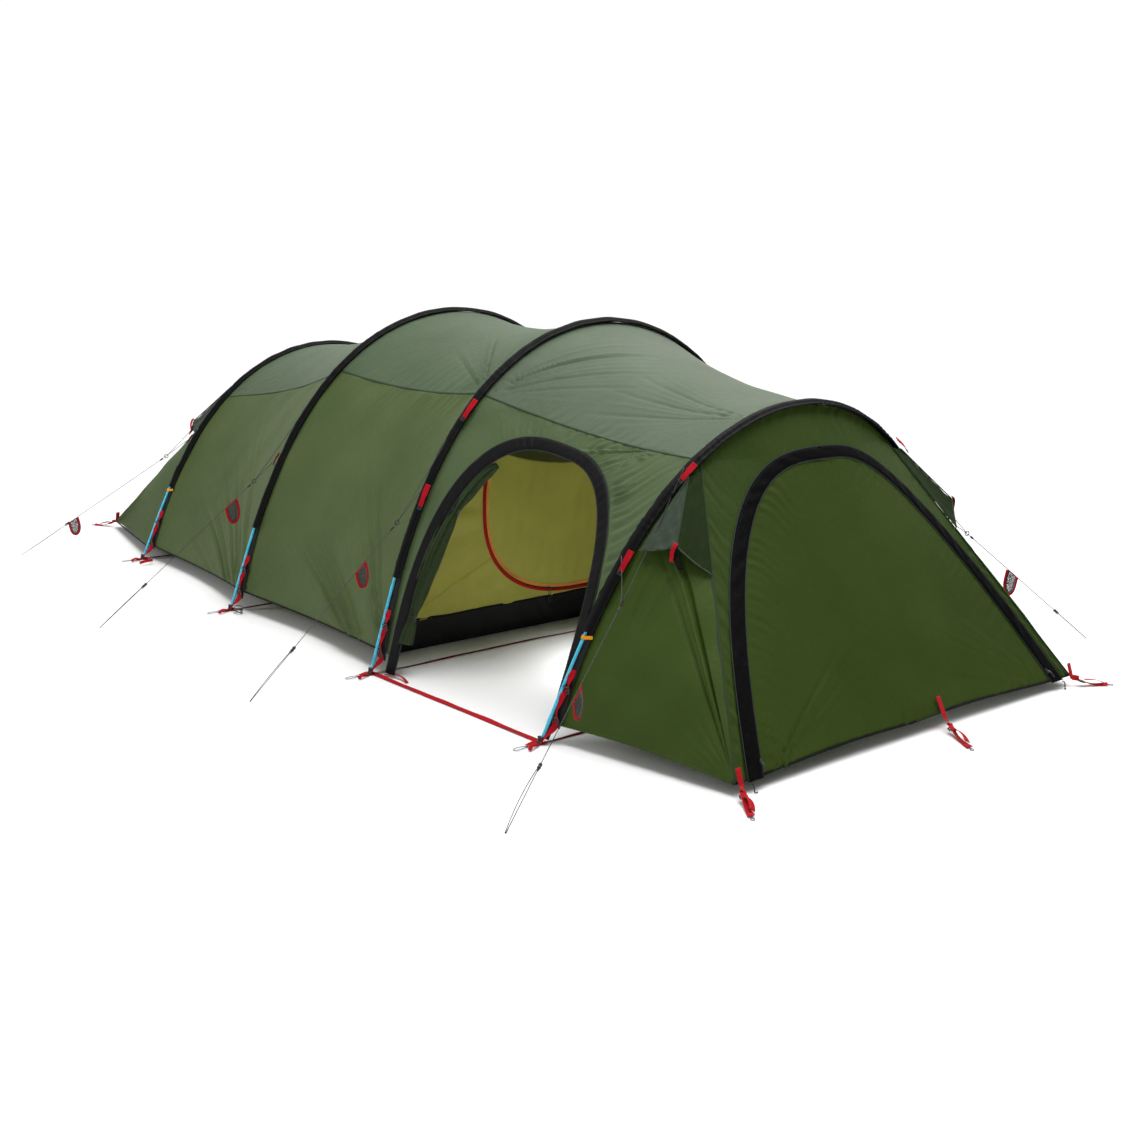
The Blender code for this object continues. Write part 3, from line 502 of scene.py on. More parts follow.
def moulded_plastic(name, colour, roughness=0.38):
    """Moulded plastic: one colour, finely pitted, its sheen broken up by handling."""
    material, shader = new_material(name, roughness)
    tree = material.node_tree
    place = add_node(tree, "TexCoord").outputs["Object"]
    pits = add_node(tree, "TexNoise", Scale=1400.0, Detail=2.0)
    wear = add_node(tree, "TexNoise", Scale=120.0, Detail=4.0)
    tree.links.new(place, pits.inputs["Vector"])
    tree.links.new(place, wear.inputs["Vector"])
    lighter = tuple(min(1.0, c * 2.2 + 0.01) for c in colour)
    tree.links.new(mix_colours(tree, wear.outputs["Fac"], colour, lighter), shader.inputs["Base Color"])
    press(tree, pits.outputs["Fac"], shader, 0.25, 0.0002)
    return material


black_plastic = moulded_plastic("black_plastic", (0.010, 0.010, 0.010))


def mirrored(points, side):
    """The same points on the near side, or turned over to the far side."""
    turned = np.array(points, float)
    turned[..., 1] *= -side
    return turned


def add_ring(name, centre, normal, radius, thickness, material, sides=10, turns=28):
    """A torus: a circle of that radius square to its normal, with a round section."""
    normal = np.asarray(normal, float) / np.linalg.norm(normal)
    first = np.cross(normal, (0.3, 0.2, 1.0))
    first /= np.linalg.norm(first)
    second = np.cross(normal, first)
    a = np.linspace(0, 2 * math.pi, turns + 1)[:, None]
    b = np.linspace(0, 2 * math.pi, sides, endpoint=False)[None, :]
    out = np.cos(a)[..., None] * first + np.sin(a)[..., None] * second
    reach = radius + thickness * np.cos(b)
    points = centre + reach[..., None] * out + (thickness * np.sin(b))[..., None] * normal
    return add_grid(name, points, material, closed=True)


def along_line(points, spacing=0.02):
    """A path resampled at even steps of about that spacing."""
    points = np.asarray(points, float)
    length = np.concatenate([[0.0], np.cumsum(np.linalg.norm(np.diff(points, axis=0), axis=1))])
    even = np.linspace(0, length[-1], max(3, int(length[-1] / spacing) + 1))
    return np.stack([np.interp(even, length, points[:, k]) for k in range(3)], -1), length[-1]


def quadratic(first, middle, last, steps):
    """A parabola from first to last whose end tangents both point at middle."""
    t = np.linspace(0, 1, steps)[:, None]
    first, middle, last = (np.asarray(p, float) for p in (first, middle, last))
    return (1 - t) ** 2 * first + 2 * t * (1 - t) * middle + t**2 * last


pocket_mesh, mesh_shader = new_material("pocket_mesh", 0.8, sheen=0.2)
tree = pocket_mesh.node_tree
where = add_node(tree, "UVMap", uv_map="cloth")
holes = add_node(tree, "TexVoronoi", Scale=420.0)
tree.links.new(where.outputs["UV"], holes.inputs["Vector"])
tree.links.new(remap(tree, holes.outputs["Distance"], 0.28, 0.42), mesh_shader.inputs["Alpha"])
tree.links.new(mix_colours(tree, holes.outputs["Distance"], (0.05, 0.05, 0.05), (0.012, 0.012, 0.012)),
               mesh_shader.inputs["Base Color"])


def webbing_material(name, light, dark, ribs=640.0):
    """Woven tape: ribs across it and a finer weave along it, and two close tones."""
    material, shader = new_material(name, 0.80, specular=0.12, sheen=0.04)
    tree = material.node_tree
    where = add_node(tree, "UVMap", uv_map="cloth")
    weave = []
    for direction, scale in (("X", ribs * 0.1), ("Y", ribs * 0.16)):
        wave = add_node(tree, "TexWave", Scale=scale)
        wave.bands_direction = direction
        tree.links.new(where.outputs["UV"], wave.inputs["Vector"])
        weave.append(wave.outputs["Fac"])
    both = combine(tree, "MULTIPLY", *weave)
    fuzz = add_node(tree, "TexNoise", Scale=70.0, Detail=4.0)
    tree.links.new(add_node(tree, "TexCoord").outputs["Object"], fuzz.inputs["Vector"])
    blend = combine(tree, "MULTIPLY", combine(tree, "ADD", both, fuzz.outputs["Fac"]), 0.6)
    tree.links.new(mix_colours(tree, blend, dark, light), shader.inputs["Base Color"])
    press(tree, both, shader, 0.7, 0.0006)
    return material


red_webbing = webbing_material("red_webbing", (0.56, 0.005, 0.015), (0.30, 0.002, 0.008))
WEBBING_THICKNESS = 0.0018


def add_ribbon(name, path, out, width, thickness, material):
    """A flat tape along a path: a rounded flat section, width across the way it faces.

    Each section is centre + (width / 2) cos t across + (thickness / 2) sin t out, its corners squared off.
    The width is one number or one for each point of the path.
    """
    path = np.asarray(path, float)
    along, across, face = frames_along(path, out)
    t = np.linspace(0, 2 * math.pi, 16, endpoint=False) + math.pi / 16
    flat = np.sign(np.cos(t)) * np.abs(np.cos(t)) ** 0.35
    thick = np.sign(np.sin(t)) * np.abs(np.sin(t)) ** 0.35
    half = 0.5 * np.broadcast_to(width, len(path))[:, None, None]
    rings = path[:, None] + half * flat[None, :, None] * across[:, None]
    rings = rings + 0.5 * thickness * thick[None, :, None] * face[:, None]
    return add_grid(name, rings, material, closed=True, capped=True)


def sew_tape(name, path, facing, width, side, thickness=WEBBING_THICKNESS, material=red_webbing):
    """A tape whose path and facing are worked out for the near side, on either side."""
    return add_ribbon(name, mirrored(path, side), mirrored(facing, side), width, thickness, material)


def add_pocket(name, spot, along, away, size):
    """A mesh pocket hung on the line by its mouth: a deep U, bellied as 1 - s squared, its rim bound in tape.

    The mesh is a grid over s across the pocket and d down it, cut to a U by drawing its width in with depth.
    """
    down = np.array([0.0, 0.0, -1.0]) - np.dot((0, 0, -1), along) * 0.35 * along
    down /= np.linalg.norm(down)
    out = np.cross(along, down) * away
    out /= np.linalg.norm(out)
    wide, deep = 0.030 * size, 0.088 * size
    d = np.linspace(0, 1, 15)[:, None]
    s = np.linspace(-1, 1, 13)[None, :]
    half = wide * np.sqrt(np.clip(1 - np.clip((d - 0.45) / 0.55, 0, 1) ** 2, 0.02, 1))
    belly = 0.016 * size * (1 - s**2) * np.sin(math.pi * (0.15 + 0.8 * d))
    points = spot + (s * half)[..., None] * along + (deep * d * np.ones_like(s))[..., None] * down
    points = points + belly[..., None] * out
    bag = add_grid(name, points, pocket_mesh)
    rim = np.concatenate([points[:, 0], points[-1, 1:-1], points[::-1, -1]])
    rim, _ = along_line(rim, 0.005)
    binding = add_ribbon(name + "_binding", rim, out, 0.017 * size, 0.0022, red_webbing)
    hem = add_ribbon(name + "_hem", points[0], out, 0.004, 0.002, red_webbing)
    for part in (bag, binding, hem):
        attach(part, "tent")


def add_guy_line(arch, side):
    """One guy line with its ring, knots, pocket, runner and doubled end."""
    label = f"{arch + 1}_{SIDE_NAMES[side]}"
    far_front = (arch, side) == (3, FAR)
    tie = arch_at(arch, GUY_TIE_U[arch], -0.012)
    bridle = np.array(FAR_FRONT_BRIDLE if far_front else GUY_BRIDLE[arch])
    peg = np.array([*(FAR_FRONT_PEG if far_front else GUY_PEG[arch]), CORD_RADIUS + 0.0003])
    beyond = bridle + (peg - bridle) * 0.06
    bend = quadratic(bridle + (tie - bridle) * 0.25, bridle, beyond, 5)
    upper, _ = along_line(np.array([tie, bend[0]]), 0.03)
    lower, _ = along_line(np.array([beyond, peg]), 0.03)
    route = mirrored(np.concatenate([upper[:-1], bend, lower[1:]]), side)
    line = add_tube(f"guy_cord_{label}", route, CORD_RADIUS, 8, guy_cord)
    along = (route[-1] - route[-3]) / np.linalg.norm(route[-1] - route[-3])

    ring_at = mirrored(bridle, side)
    ring = add_ring(f"guy_ring_{label}", ring_at, np.cross(along, (0, 0, 1)), 0.0085, 0.0017, black_plastic)
    knot_path = ring_at + along * np.linspace(0.020, 0.038, 9)[:, None]
    knot_size = 0.0042 * np.sin(np.linspace(0.25, math.pi - 0.25, 9)) ** 0.5
    knot = add_tube(f"guy_knot_{label}", knot_path, knot_size, 10, black_cord)

    leg_top = mirrored(arch_at(arch, GUY_UPPER_U[arch], -0.012), side)
    sag = 0.5 * (leg_top + ring_at) - np.array([0, 0, 0.012])
    leg, leg_length = along_line(quadratic(leg_top, sag, ring_at, 24), 0.02)
    bridle_leg = add_tube(f"guy_leg_{label}", leg, CORD_RADIUS, 8, guy_cord)

    spot = route[-1] - along * np.linalg.norm(route[-1] - mirrored(beyond, side)) * (1 - POCKET_SHARE[arch])
    if arch == 3:
        spot = spot - along * (0.050 if side == FAR else 0.014)
    add_pocket(f"guy_pocket_{label}", spot - [0, 0, 0.002], along, -side, 0.8 + 0.1 * (arch % 2))

    runner_at = mirrored(beyond + (peg - beyond) * RUNNER_SHARE[arch], side)
    sizes = np.array([0.0030, 0.0052, 0.0060, 0.0056, 0.0044, 0.0052, 0.0060, 0.0052, 0.0030])
    body = runner_at + along * np.linspace(-0.011, 0.011, 9)[:, None]
    runner = add_tube(f"runner_{label}", body, sizes, 14, black_plastic)
    ear = add_ring(f"runner_ear_{label}", runner_at + along * 0.012, np.cross(along, (0, 0, 1)),
                   0.0045, 0.0014, black_plastic)
    for part in (runner, ear):
        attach(part, f"guy_runner_{label}")
    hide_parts(f"guy_runner_{label}")

    beside = np.cross(along, (0, 0, 1))
    beside /= np.linalg.norm(beside)
    first = runner_at + along * 0.012 + beside * 0.004
    bow = 0.55 * first + 0.45 * route[-1] + beside * 0.016 - [0, 0, 0.004]
    strand, strand_length = along_line(quadratic(first, bow, route[-1] + beside * 0.0026, 20), 0.015)
    loop = add_tube(f"guy_loop_{label}", strand, CORD_RADIUS, 8, guy_cord)
    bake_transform(loop)

    for part in (line, ring, knot, bridle_leg):
        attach(part, "tent")
    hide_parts(f"guy_line_{label}")


for side in (NEAR, FAR):
    for arch in range(4):
        add_guy_line(arch, side)

# ==== the fly over the cabin ====
# Coated ripstop nylon of one green, sewn from a roof panel and two side panels that run from the rear arch to
# the third.  The roof is painted paler and the sides a little lighter than the front: painted sheen.  It is
# drawn tight between the arches, where it dips a little, and folds run up from its tight feet.
FLY_SAG = 0.050
HEM_Z = 0.072
ARCH_REACH = 3.0
BAY_LENGTHS = np.diff(ARCH_X)
CLOTH_THICKNESS = 0.0007

# The roof's paler, greyer base colour is painted sheen: the sky reflected at a grazing angle.
roof_cloth_painted_sheen = cloth_material("roof_cloth_painted_sheen", (0.076, 0.115, 0.058), (0.056, 0.090, 0.041), sheen=0.04)
# The walls are the door's green painted lighter and greyer: painted sheen where they are seen at a slant.
side_cloth_painted_sheen = cloth_material("side_cloth_painted_sheen", (0.080, 0.116, 0.038), (0.060, 0.092, 0.026))
seam_cloth = cloth_material("seam_cloth", (0.040, 0.064, 0.036), (0.028, 0.046, 0.026), specular=0.1)
binding_cloth = cloth_material("binding_cloth", (0.010, 0.010, 0.010), (0.005, 0.005, 0.005), specular=0.08)


def fly_at(bay, u, v, depth=FLY_DEPTH):
    """The fly between an arch and the next: straight threads from one to the other, dipping between them.

    The dip is FLY_SAG x 4 v (1 - v) along the arch's normal.  Near the feet the cloth leaves the poles and
    is drawn a little further in, by up to 16 mm.
    """
    u, v = np.broadcast_arrays(np.asarray(u, float), np.asarray(v, float))
    low_z = np.clip(1 - (np.minimum(u, 1 - u) - 0.02) / 0.10, 0, 1)
    pull = 0.016 * low_z**2 * np.abs(2 * v - 1) ** 6
    rear, front = arch_at(bay, u, 0.0), arch_at(bay + 1, u, 0.0)
    inward = arch_at(bay, u, 1.0) - rear
    inward_front = arch_at(bay + 1, u, 1.0) - front
    share = v[..., None]
    depth_here = (depth + pull + FLY_SAG * 4 * v * (1 - v))[..., None]
    return (1 - share) * rear + share * front + depth_here * ((1 - share) * inward + share * inward_front)


def pushed_out(points, height):
    """A grid of points pushed along its own normals by a grid of heights."""
    normal = np.cross(np.gradient(points, axis=1), np.gradient(points, axis=0))
    normal /= np.linalg.norm(normal, axis=-1, keepdims=True) + 1e-12
    return points + normal * np.asarray(height)[..., None]


def fan_folds(along, up, centre, heading, spread, reach, count, seed):
    """Straight folds that fan out from a point where the cloth is pulled, heights about 1 at most.

    With a the angle off the heading over the spread, and r the distance over the reach, the height is a
    random wave of count swings in a, made peaky by cubing, and it dies away as (1 - a squared) (1 - r).
    """
    r = np.hypot(along - centre[0], up - centre[1]) / reach
    turned = np.arctan2(up - centre[1], along - centre[0]) - math.radians(heading)
    a = ((turned + math.pi) % (2 * math.pi) - math.pi) / math.radians(spread)
    wave = random_wave(a * count / 2, seed)
    peaky = 0.35 * wave + 1.1 * wave**3
    return peaky * np.clip(1 - a**2, 0, 1) * np.clip(1 - r, 0, 1) ** 0.8 * np.clip(r / 0.15, 0, 1)


def gathers(along, distance, pitch, reach, seed):
    """Short pleats square to a stitched edge: a random wave along it, dying away over a reach from it."""
    drift = 0.25 * random_wave(distance / (3 * reach), seed + 1)
    fade = np.exp(-((np.abs(distance) / reach) ** 1.3)) * np.clip(np.abs(distance) / (0.15 * reach), 0.35, 1)
    return random_wave(along / pitch + drift, seed) * fade


def slack(along, up, size, seed):
    """The cloth's soft unevenness: two crossed random waves multiplied, at a scale in metres."""
    first = random_wave((along + 0.4 * up) / size, seed)
    return first * random_wave((up - 0.3 * along) / size, seed + 1)


def roof_seam_u(bay, v):
    """Where the roof's seam crosses each bay: lower at the rear, and rising again over the porch."""
    start, end = ((0.288, 0.3175), (0.3175, 0.316), (0.314, 0.340))[bay]
    return start + (end - start) * np.asarray(v) ** (0.45 if bay == 0 else 1.0)


def finish_cloth(piece, body, nodes=(), thickness=CLOTH_THICKNESS):
    """Gives a cloth grid its thickness and its body, and hides the parts of the model that it replaces."""
    solid = piece.modifiers.new("thickness", "SOLIDIFY")
    solid.thickness, solid.offset = thickness, -1
    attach(piece, body)
    if nodes:
        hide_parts(*nodes)


def bay_span(bays, columns):
    """Evenly spread columns over several bays: each one's bay, v, and metres forward from the first arch."""
    bay = np.repeat(bays, columns)
    v = np.tile(np.linspace(0, 1, columns), len(bays))
    keep = np.concatenate([[True], np.diff(bay + v) > 1e-9])
    along = np.concatenate([BAY_LENGTHS[b] * np.linspace(0, 1, columns) + ARCH_X[b]
                            - ARCH_X[0] for b in bays])
    return bay[keep], v[keep], along[keep]


def fly_grid(bay, v, u):
    """Fly points for columns given by bay and v, and a grid of u of one row to each row of the result."""
    points = np.zeros((*u.shape, 3))
    for b in np.unique(bay):
        mine = bay == b
        points[:, mine] = fly_at(int(b), u[:, mine], np.broadcast_to(v[mine], u[:, mine].shape))
    return points


hem_u = arch_u(0, HEM_Z)
bay, v, along = bay_span((0, 1), 130)
seam_u = np.where(bay == 0, roof_seam_u(0, v), roof_seam_u(1, v))
for side in (NEAR, FAR):
    t = np.linspace(0, 1, 112)[:, None]
    u = hem_u + (seam_u - hem_u) * t
    points = fly_grid(bay, v, u)
    up, ahead = (u - hem_u) * ARCH_REACH, np.broadcast_to(along, u.shape)
    height = 0.0024 * slack(ahead, up, 0.42, 41 + side)
    for arch, swings, size in ((1, 9, 0.0105), (2, 11, 0.0115)):
        beyond_foot = (ARCH_X[arch] - ARCH_X[0] + 0.20, -0.20)
        height += size * fan_folds(ahead, up, beyond_foot, 146, 19, 1.15, swings, 50 + arch + side)
    for arch, size in ((0, 0.0012), (1, 0.0014)):
        foot = (ARCH_X[arch] - ARCH_X[0] - 0.02, -0.10)
        height += size * fan_folds(ahead, up, foot, 52, 24, 0.50, 7, 60 + arch + side)
    seam_gap = (seam_u - u) * ARCH_REACH
    strong = 0.4 + 0.9 * np.clip((ahead - 1.5) / 0.6, 0, 1)
    height += 0.0026 * strong * gathers(ahead + 0.5 * seam_gap, seam_gap, 0.038, 0.085, 71 + side)
    sleeve_gap = np.min([np.abs(along - (x - ARCH_X[0])) for x in ARCH_X[:3]], axis=0)
    height += 0.0011 * gathers(up, sleeve_gap[None, :] + 0 * up, 0.042, 0.045, 81 + side)
    height *= np.clip(sleeve_gap / 0.03, 0, 1)
    height *= np.clip(t / 0.02, 0.25, 1) * np.clip((1 - t) / 0.015, 0.2, 1)
    points = pushed_out(points, height)
    shaped = points if side == NEAR else mirrored(points, FAR)[:, ::-1]
    wall = add_grid(f"fly_side_cloth_{SIDE_NAMES[side]}", shaped, side_cloth_painted_sheen)
    finish_cloth(wall, "tent",
                 [f"fly_side_{SIDE_NAMES[side]}"])
    hem = mirrored(points[0] + [0, 0, 0.002], side)
    tape, _ = along_line(hem, 0.012)
    facing = np.array([0.0, side, 0.15])
    edging = add_ribbon(f"fly_hem_{SIDE_NAMES[side]}", tape, facing, 0.0055, 0.0022, binding_cloth)
    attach(edging, "tent")

t = np.linspace(0, 1, 150)[:, None]
u = seam_u + (1 - 2 * seam_u) * t
points = fly_grid(bay, v, u)
up, ahead = (u - seam_u) * ARCH_REACH, np.broadcast_to(along, u.shape)
height = 0.003 * slack(ahead, up, 0.5, 91)
edge_gap = np.minimum(t, 1 - t) * (1 - 2 * seam_u) * ARCH_REACH
strong = 0.35 + 0.65 * np.clip((ahead - 1.6) / 0.5, 0, 1)
height += 0.0030 * strong * gathers(ahead - 0.5 * edge_gap, edge_gap, 0.038, 0.11, 93)
corner = (ARCH_X[2] - ARCH_X[0], 0.0)
height += 0.0040 * fan_folds(ahead, up, corner, 140, 34, 0.62, 11, 95)
height += 0.0018 * fan_folds(ahead, up, (0.02, 0.0), 35, 40, 0.42, 9, 96)
sleeve_gap = np.min([np.abs(along - (x - ARCH_X[0])) for x in ARCH_X[:3]], axis=0)
height += 0.0009 * gathers(up, sleeve_gap[None, :] + 0 * up, 0.05, 0.05, 97)
height *= np.clip(sleeve_gap / 0.03, 0, 1) * np.clip(np.minimum(t, 1 - t) / 0.012, 0.2, 1)
points = pushed_out(points, height)
roof = add_grid("fly_roof_rear_cloth", points, roof_cloth_painted_sheen)
finish_cloth(roof, "tent",
             ["fly_roof_rear"])


def add_seam(name, path, outward, width=0.0045, material=seam_cloth):
    """A felled seam: a flat tape of doubled cloth along a path, standing a little proud."""
    tape, _ = along_line(path, 0.012)
    seam = add_ribbon(name, tape, outward, width, 0.0024, material)
    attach(seam, "tent")
    return seam


for side in (NEAR, FAR):
    for b in (0, 1):
        mine = bay == b
        row = fly_at(b, roof_seam_u(b, v[mine]), v[mine], FLY_DEPTH - 0.0006)
        add_seam(f"roof_seam_{b + 1}_{SIDE_NAMES[side]}", mirrored(row, side), (0.0, side * 0.75, 0.66))

# ==== the porch sides and their doorways ====
# The third bay is the porch.  Each side wall has a doorway with a rounded top, its zip hidden under a
# wide black flap that is piped along both edges.  Foldlines fan out where the flap is stitched tight.
DOOR_MIDDLE = 0.51
DOOR_REACH = {-1: 0.415, 1: 0.475}
DOOR_POWER = {-1: 3.2, 1: 2.0}
DOOR_TOP_U = 0.289
# The porch roof is painted paler still: painted sheen, and painted light from the lamp over the porch.
porch_roof_cloth_painted_sheen = cloth_material("porch_roof_cloth_painted_sheen", (0.102, 0.137, 0.087), (0.078, 0.110, 0.064),
                                  sheen=0.04)
# The porch walls and the far door are painted lighter in the same way: painted sheen.
porch_side_cloth_painted_sheen = cloth_material("porch_side_cloth_painted_sheen", (0.082, 0.122, 0.052), (0.062, 0.096, 0.036))
flap_cloth = cloth_material("flap_cloth", (0.0085, 0.0085, 0.0095), (0.0035, 0.0035, 0.004), specular=0.09,
                            crinkle=1.3)
piping_cloth = cloth_material("piping_cloth", (0.030, 0.040, 0.034), (0.014, 0.020, 0.016))


def doorway(theta, margin=0.0, top=0.0, foot=None):
    """The doorway's outline as u and v, over theta from 0 at the rear foot to 2 at the front foot.

    Each half is a superellipse: u is the top's u times sin(a) to the power 2 / p, and v lies off the
    middle by the reach times cos(a) to the power 2 / p, where a runs from the foot's angle to a quarter turn.
    """
    foot_u = hem_u if foot is None else foot
    theta = np.asarray(theta, float)
    u, v = np.zeros_like(theta), np.zeros_like(theta)
    for way, mine in ((-1, theta <= 1), (1, theta > 1)):
        power = DOOR_POWER[way]
        share = theta[mine] if way < 0 else 2 - theta[mine]
        start = math.asin((foot_u / (DOOR_TOP_U + top)) ** (power / 2))
        a = start + (math.pi / 2 - start) * share
        u[mine] = (DOOR_TOP_U + top) * np.sin(a) ** (2 / power)
        v[mine] = DOOR_MIDDLE + way * (DOOR_REACH[way] + margin) * np.abs(np.cos(a)) ** (2 / power)
    return u, v


k = np.linspace(0, 1, 300)
frame_v = np.interp(k, [0, 0.33, 0.67, 1], [0.0, 0.0, 1.0, 1.0])
seam_here = roof_seam_u(2, frame_v)
frame_u = np.interp(k, [0, 0.33, 0.67, 1], [0, 1, 1, 0])
frame_u = hem_u + (seam_here - hem_u) * frame_u
edge_u, edge_v = doorway(2 * k)
s = np.linspace(0, 1, 64)[:, None]
u = frame_u + (edge_u - frame_u) * s
v = np.clip(frame_v + (edge_v - frame_v) * s, 0, 1)
up, ahead = (u - hem_u) * ARCH_REACH, v * BAY_LENGTHS[2]
to_door = (1 - s) * np.hypot((edge_u - frame_u) * ARCH_REACH, (edge_v - frame_v) * BAY_LENGTHS[2])
to_seam = np.abs(seam_here - u) * ARCH_REACH + 0.5 * np.abs(k - 0.5)
for side in (NEAR, FAR):
    label = SIDE_NAMES[side]
    points = fly_at(2, u, v)
    height = 0.0022 * slack(ahead, up, 0.3, 101 + side)
    over_top = np.clip(1 - ((k - 0.55) / 0.24) ** 2, 0, 1)
    fold = 0.0040 * over_top * gathers(k * 3.2 + 0 * s, to_door - 0.045, 0.058, 0.075, 103 + side)
    front_shoulder = np.clip(1 - ((k - 0.72) / 0.15) ** 2, 0, 1)
    fold += 0.0068 * front_shoulder * gathers(k * 3.2 + 0.3 * to_door, to_door - 0.045, 0.075, 0.12,
                                              105 + side)
    height += fold * np.clip((to_door - 0.042) / 0.03, 0.08, 1)
    height += 0.0036 * over_top * gathers(ahead, to_seam, 0.034, 0.075, 107 + side)
    pulled = (0.86 * BAY_LENGTHS[2], (0.345 - hem_u) * ARCH_REACH)
    height += 0.0030 * fan_folds(ahead, up, pulled, 205, 26, 0.40, 9, 109 + side)
    edge = np.clip(s / 0.06, 0, 1) * np.clip((1 - s) / 0.04, 0.3, 1)
    points = pushed_out(points, height * edge)
    shaped = points[:, ::-1] if side == NEAR else mirrored(points, FAR)
    wall = add_grid(f"porch_side_cloth_painted_sheen_{label}", shaped, porch_side_cloth_painted_sheen)
    finish_cloth(wall, "tent",
                 [f"porch_side_{label}"])

    theta = np.linspace(0, 2, 320)
    lap = np.linspace(0, 1, 12)[:, None]
    rows = []
    for share in lap[:, 0]:
        margin, top = 0.050 * share - 0.004, 0.0155 * share - 0.001
        band_u, band_v = doorway(theta, margin, top, foot=0.006)
        rows.append(np.stack([band_u, np.clip(band_v, -0.02, 1.0)]))
    band_u, band_v = np.array(rows)[:, 0], np.array(rows)[:, 1]
    metres = theta * 0.85
    swell = 0.0042 * (1 - (2 * lap - 1) ** 6) + 0.0012
    puckers = 0.0016 * gathers(metres + 0.5 * lap * 0.05, 0.05 * lap, 0.05, 0.05, 111 + side)
    points = pushed_out(fly_at(2, band_u, band_v), swell + puckers * (1 - (2 * lap - 1) ** 8))
    shaped = points if side == NEAR else mirrored(points, FAR)[:, ::-1]
    flap = add_grid(f"side_zip_flap_{label}", shaped, flap_cloth)
    finish_cloth(flap, "tent")
    for edge_name, row in (("inner", 0), ("outer", -1)):
        line, _ = along_line(mirrored(points[row], side), 0.010)
        piping = add_tube(f"side_piping_{edge_name}_{label}", line, 0.0021, 8, piping_cloth, (0.0, side, 0.2))
        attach(piping, "tent")

v_line = np.linspace(0, 1, 130)
seam_u3 = roof_seam_u(2, v_line)
t = np.linspace(0, 1, 150)[:, None]
u = seam_u3 + (1 - 2 * seam_u3) * t
points = fly_at(2, u, np.broadcast_to(v_line, u.shape))
ahead, up = np.broadcast_to(v_line * BAY_LENGTHS[2], u.shape), (u - seam_u3) * ARCH_REACH
edge_gap = np.minimum(t, 1 - t) * (1 - 2 * seam_u3) * ARCH_REACH
height = 0.003 * slack(ahead, up, 0.45, 121)
over_door = np.clip(1 - ((v_line - 0.45) / 0.45) ** 2, 0, 1)
height += 0.0026 * over_door * gathers(ahead - 0.2 * edge_gap, edge_gap, 0.032, 0.07, 123)
height += 0.0034 * fan_folds(ahead, up, (0.02, 0.0), 55, 40, 0.6, 13, 125)
height += 0.0026 * fan_folds(ahead, up, (BAY_LENGTHS[2], 0.25), 190, 35, 0.6, 9, 126)
sleeve_gap = np.minimum(v_line, 1 - v_line) * BAY_LENGTHS[2]
height += 0.0009 * gathers(up, sleeve_gap[None, :] + 0 * up, 0.05, 0.05, 127)
height *= np.clip(sleeve_gap / 0.03, 0, 1) * np.clip(np.minimum(t, 1 - t) / 0.012, 0.2, 1)
points = pushed_out(points, height)
roof = add_grid("fly_roof_porch_cloth", points, porch_roof_cloth_painted_sheen)
finish_cloth(roof, "tent", ["fly_roof_porch"])
for side in (NEAR, FAR):
    row = fly_at(2, seam_u3, v_line, FLY_DEPTH - 0.0006)
    add_seam(f"roof_seam_3_{SIDE_NAMES[side]}", mirrored(row, side), (0.0, side * 0.75, 0.66))

# ==== the side doors ====
# The far door is zipped shut.  The near one is rolled back against the rear leg of its doorway, in loose
# lengthwise folds that two toggles on loops hold in.
far_door_body = "side_door_far"
rise = np.linspace(0, 1, 90)
edge_u, edge_v = doorway(rise, -0.003, -0.001)
_, front_v = doorway(2 - rise, -0.003, -0.001)
front_start = np.interp(edge_u, doorway(2 - rise, -0.003, -0.001)[0], front_v)
s = np.linspace(0, 1, 90)[None, :]
u = np.broadcast_to(edge_u[:, None], (90, 90))
v = edge_v[:, None] + (front_start - edge_v)[:, None] * s
points = fly_at(2, u, v)
up, ahead = (u - hem_u) * ARCH_REACH, v * BAY_LENGTHS[2]
height = 0.0028 * slack(ahead, up, 0.3, 131)
height += 0.003 * fan_folds(ahead, up, (0.1, -0.02), 62, 40, 0.6, 9, 132)
height *= np.clip(np.minimum(s, 1 - s) / 0.05, 0, 1)
points = pushed_out(points, height)[:-1]
shaped = mirrored(points, FAR)[:, ::-1]
door = add_grid("side_door_far_cloth", shaped, porch_side_cloth_painted_sheen)
finish_cloth(door, far_door_body, [far_door_body])

climb = np.linspace(0, 1, 170)
roll_u = 0.040 + 0.212 * climb
rear_u, rear_v = doorway(np.linspace(0, 1, 200))
roll_v = np.interp(roll_u, rear_u, rear_v) + 0.006 - 0.010 * np.clip(1 - climb / 0.4, 0, 1)
centre = fly_at(2, roll_u, roll_v, 0.030)
_, across, out = frames_along(centre, (1.0, 0.0, 0.0))
toggles = (0.14, 0.70)
width = np.interp(climb, [0, 0.08, 0.14, 0.24, 0.45, 0.62, 0.70, 0.80, 0.96, 1],
                  [27, 24, 12, 26, 31, 25, 12, 25, 20, 9])
width = 0.001 * np.convolve(np.pad(width, 4, mode="edge"), np.ones(9) / 9, mode="valid")
a = np.linspace(0, 2 * math.pi, 96, endpoint=False)[None, :]
lobes = 0.12 * np.sin(5 * a + 2 * climb[:, None]) + 0.10 * np.sin(9 * a - 1.5 * climb[:, None] + 1)
lobes = lobes + 0.08 * np.sin(14 * a + 3 * climb[:, None])
reach = width[:, None] * (1 + lobes)
rings = centre[:, None] + (reach * np.cos(a))[..., None] * across[:, None]
rings = rings + (0.72 * reach * np.sin(a))[..., None] * out[:, None]
roll_cloth = cloth_material("roll_cloth", (0.034, 0.058, 0.018), (0.014, 0.026, 0.006), crinkle=1.6)
roll = add_grid("side_door_near_roll", rings, roll_cloth, closed=True, capped=True)
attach(roll, "tent")
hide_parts("side_door_near_rolled")
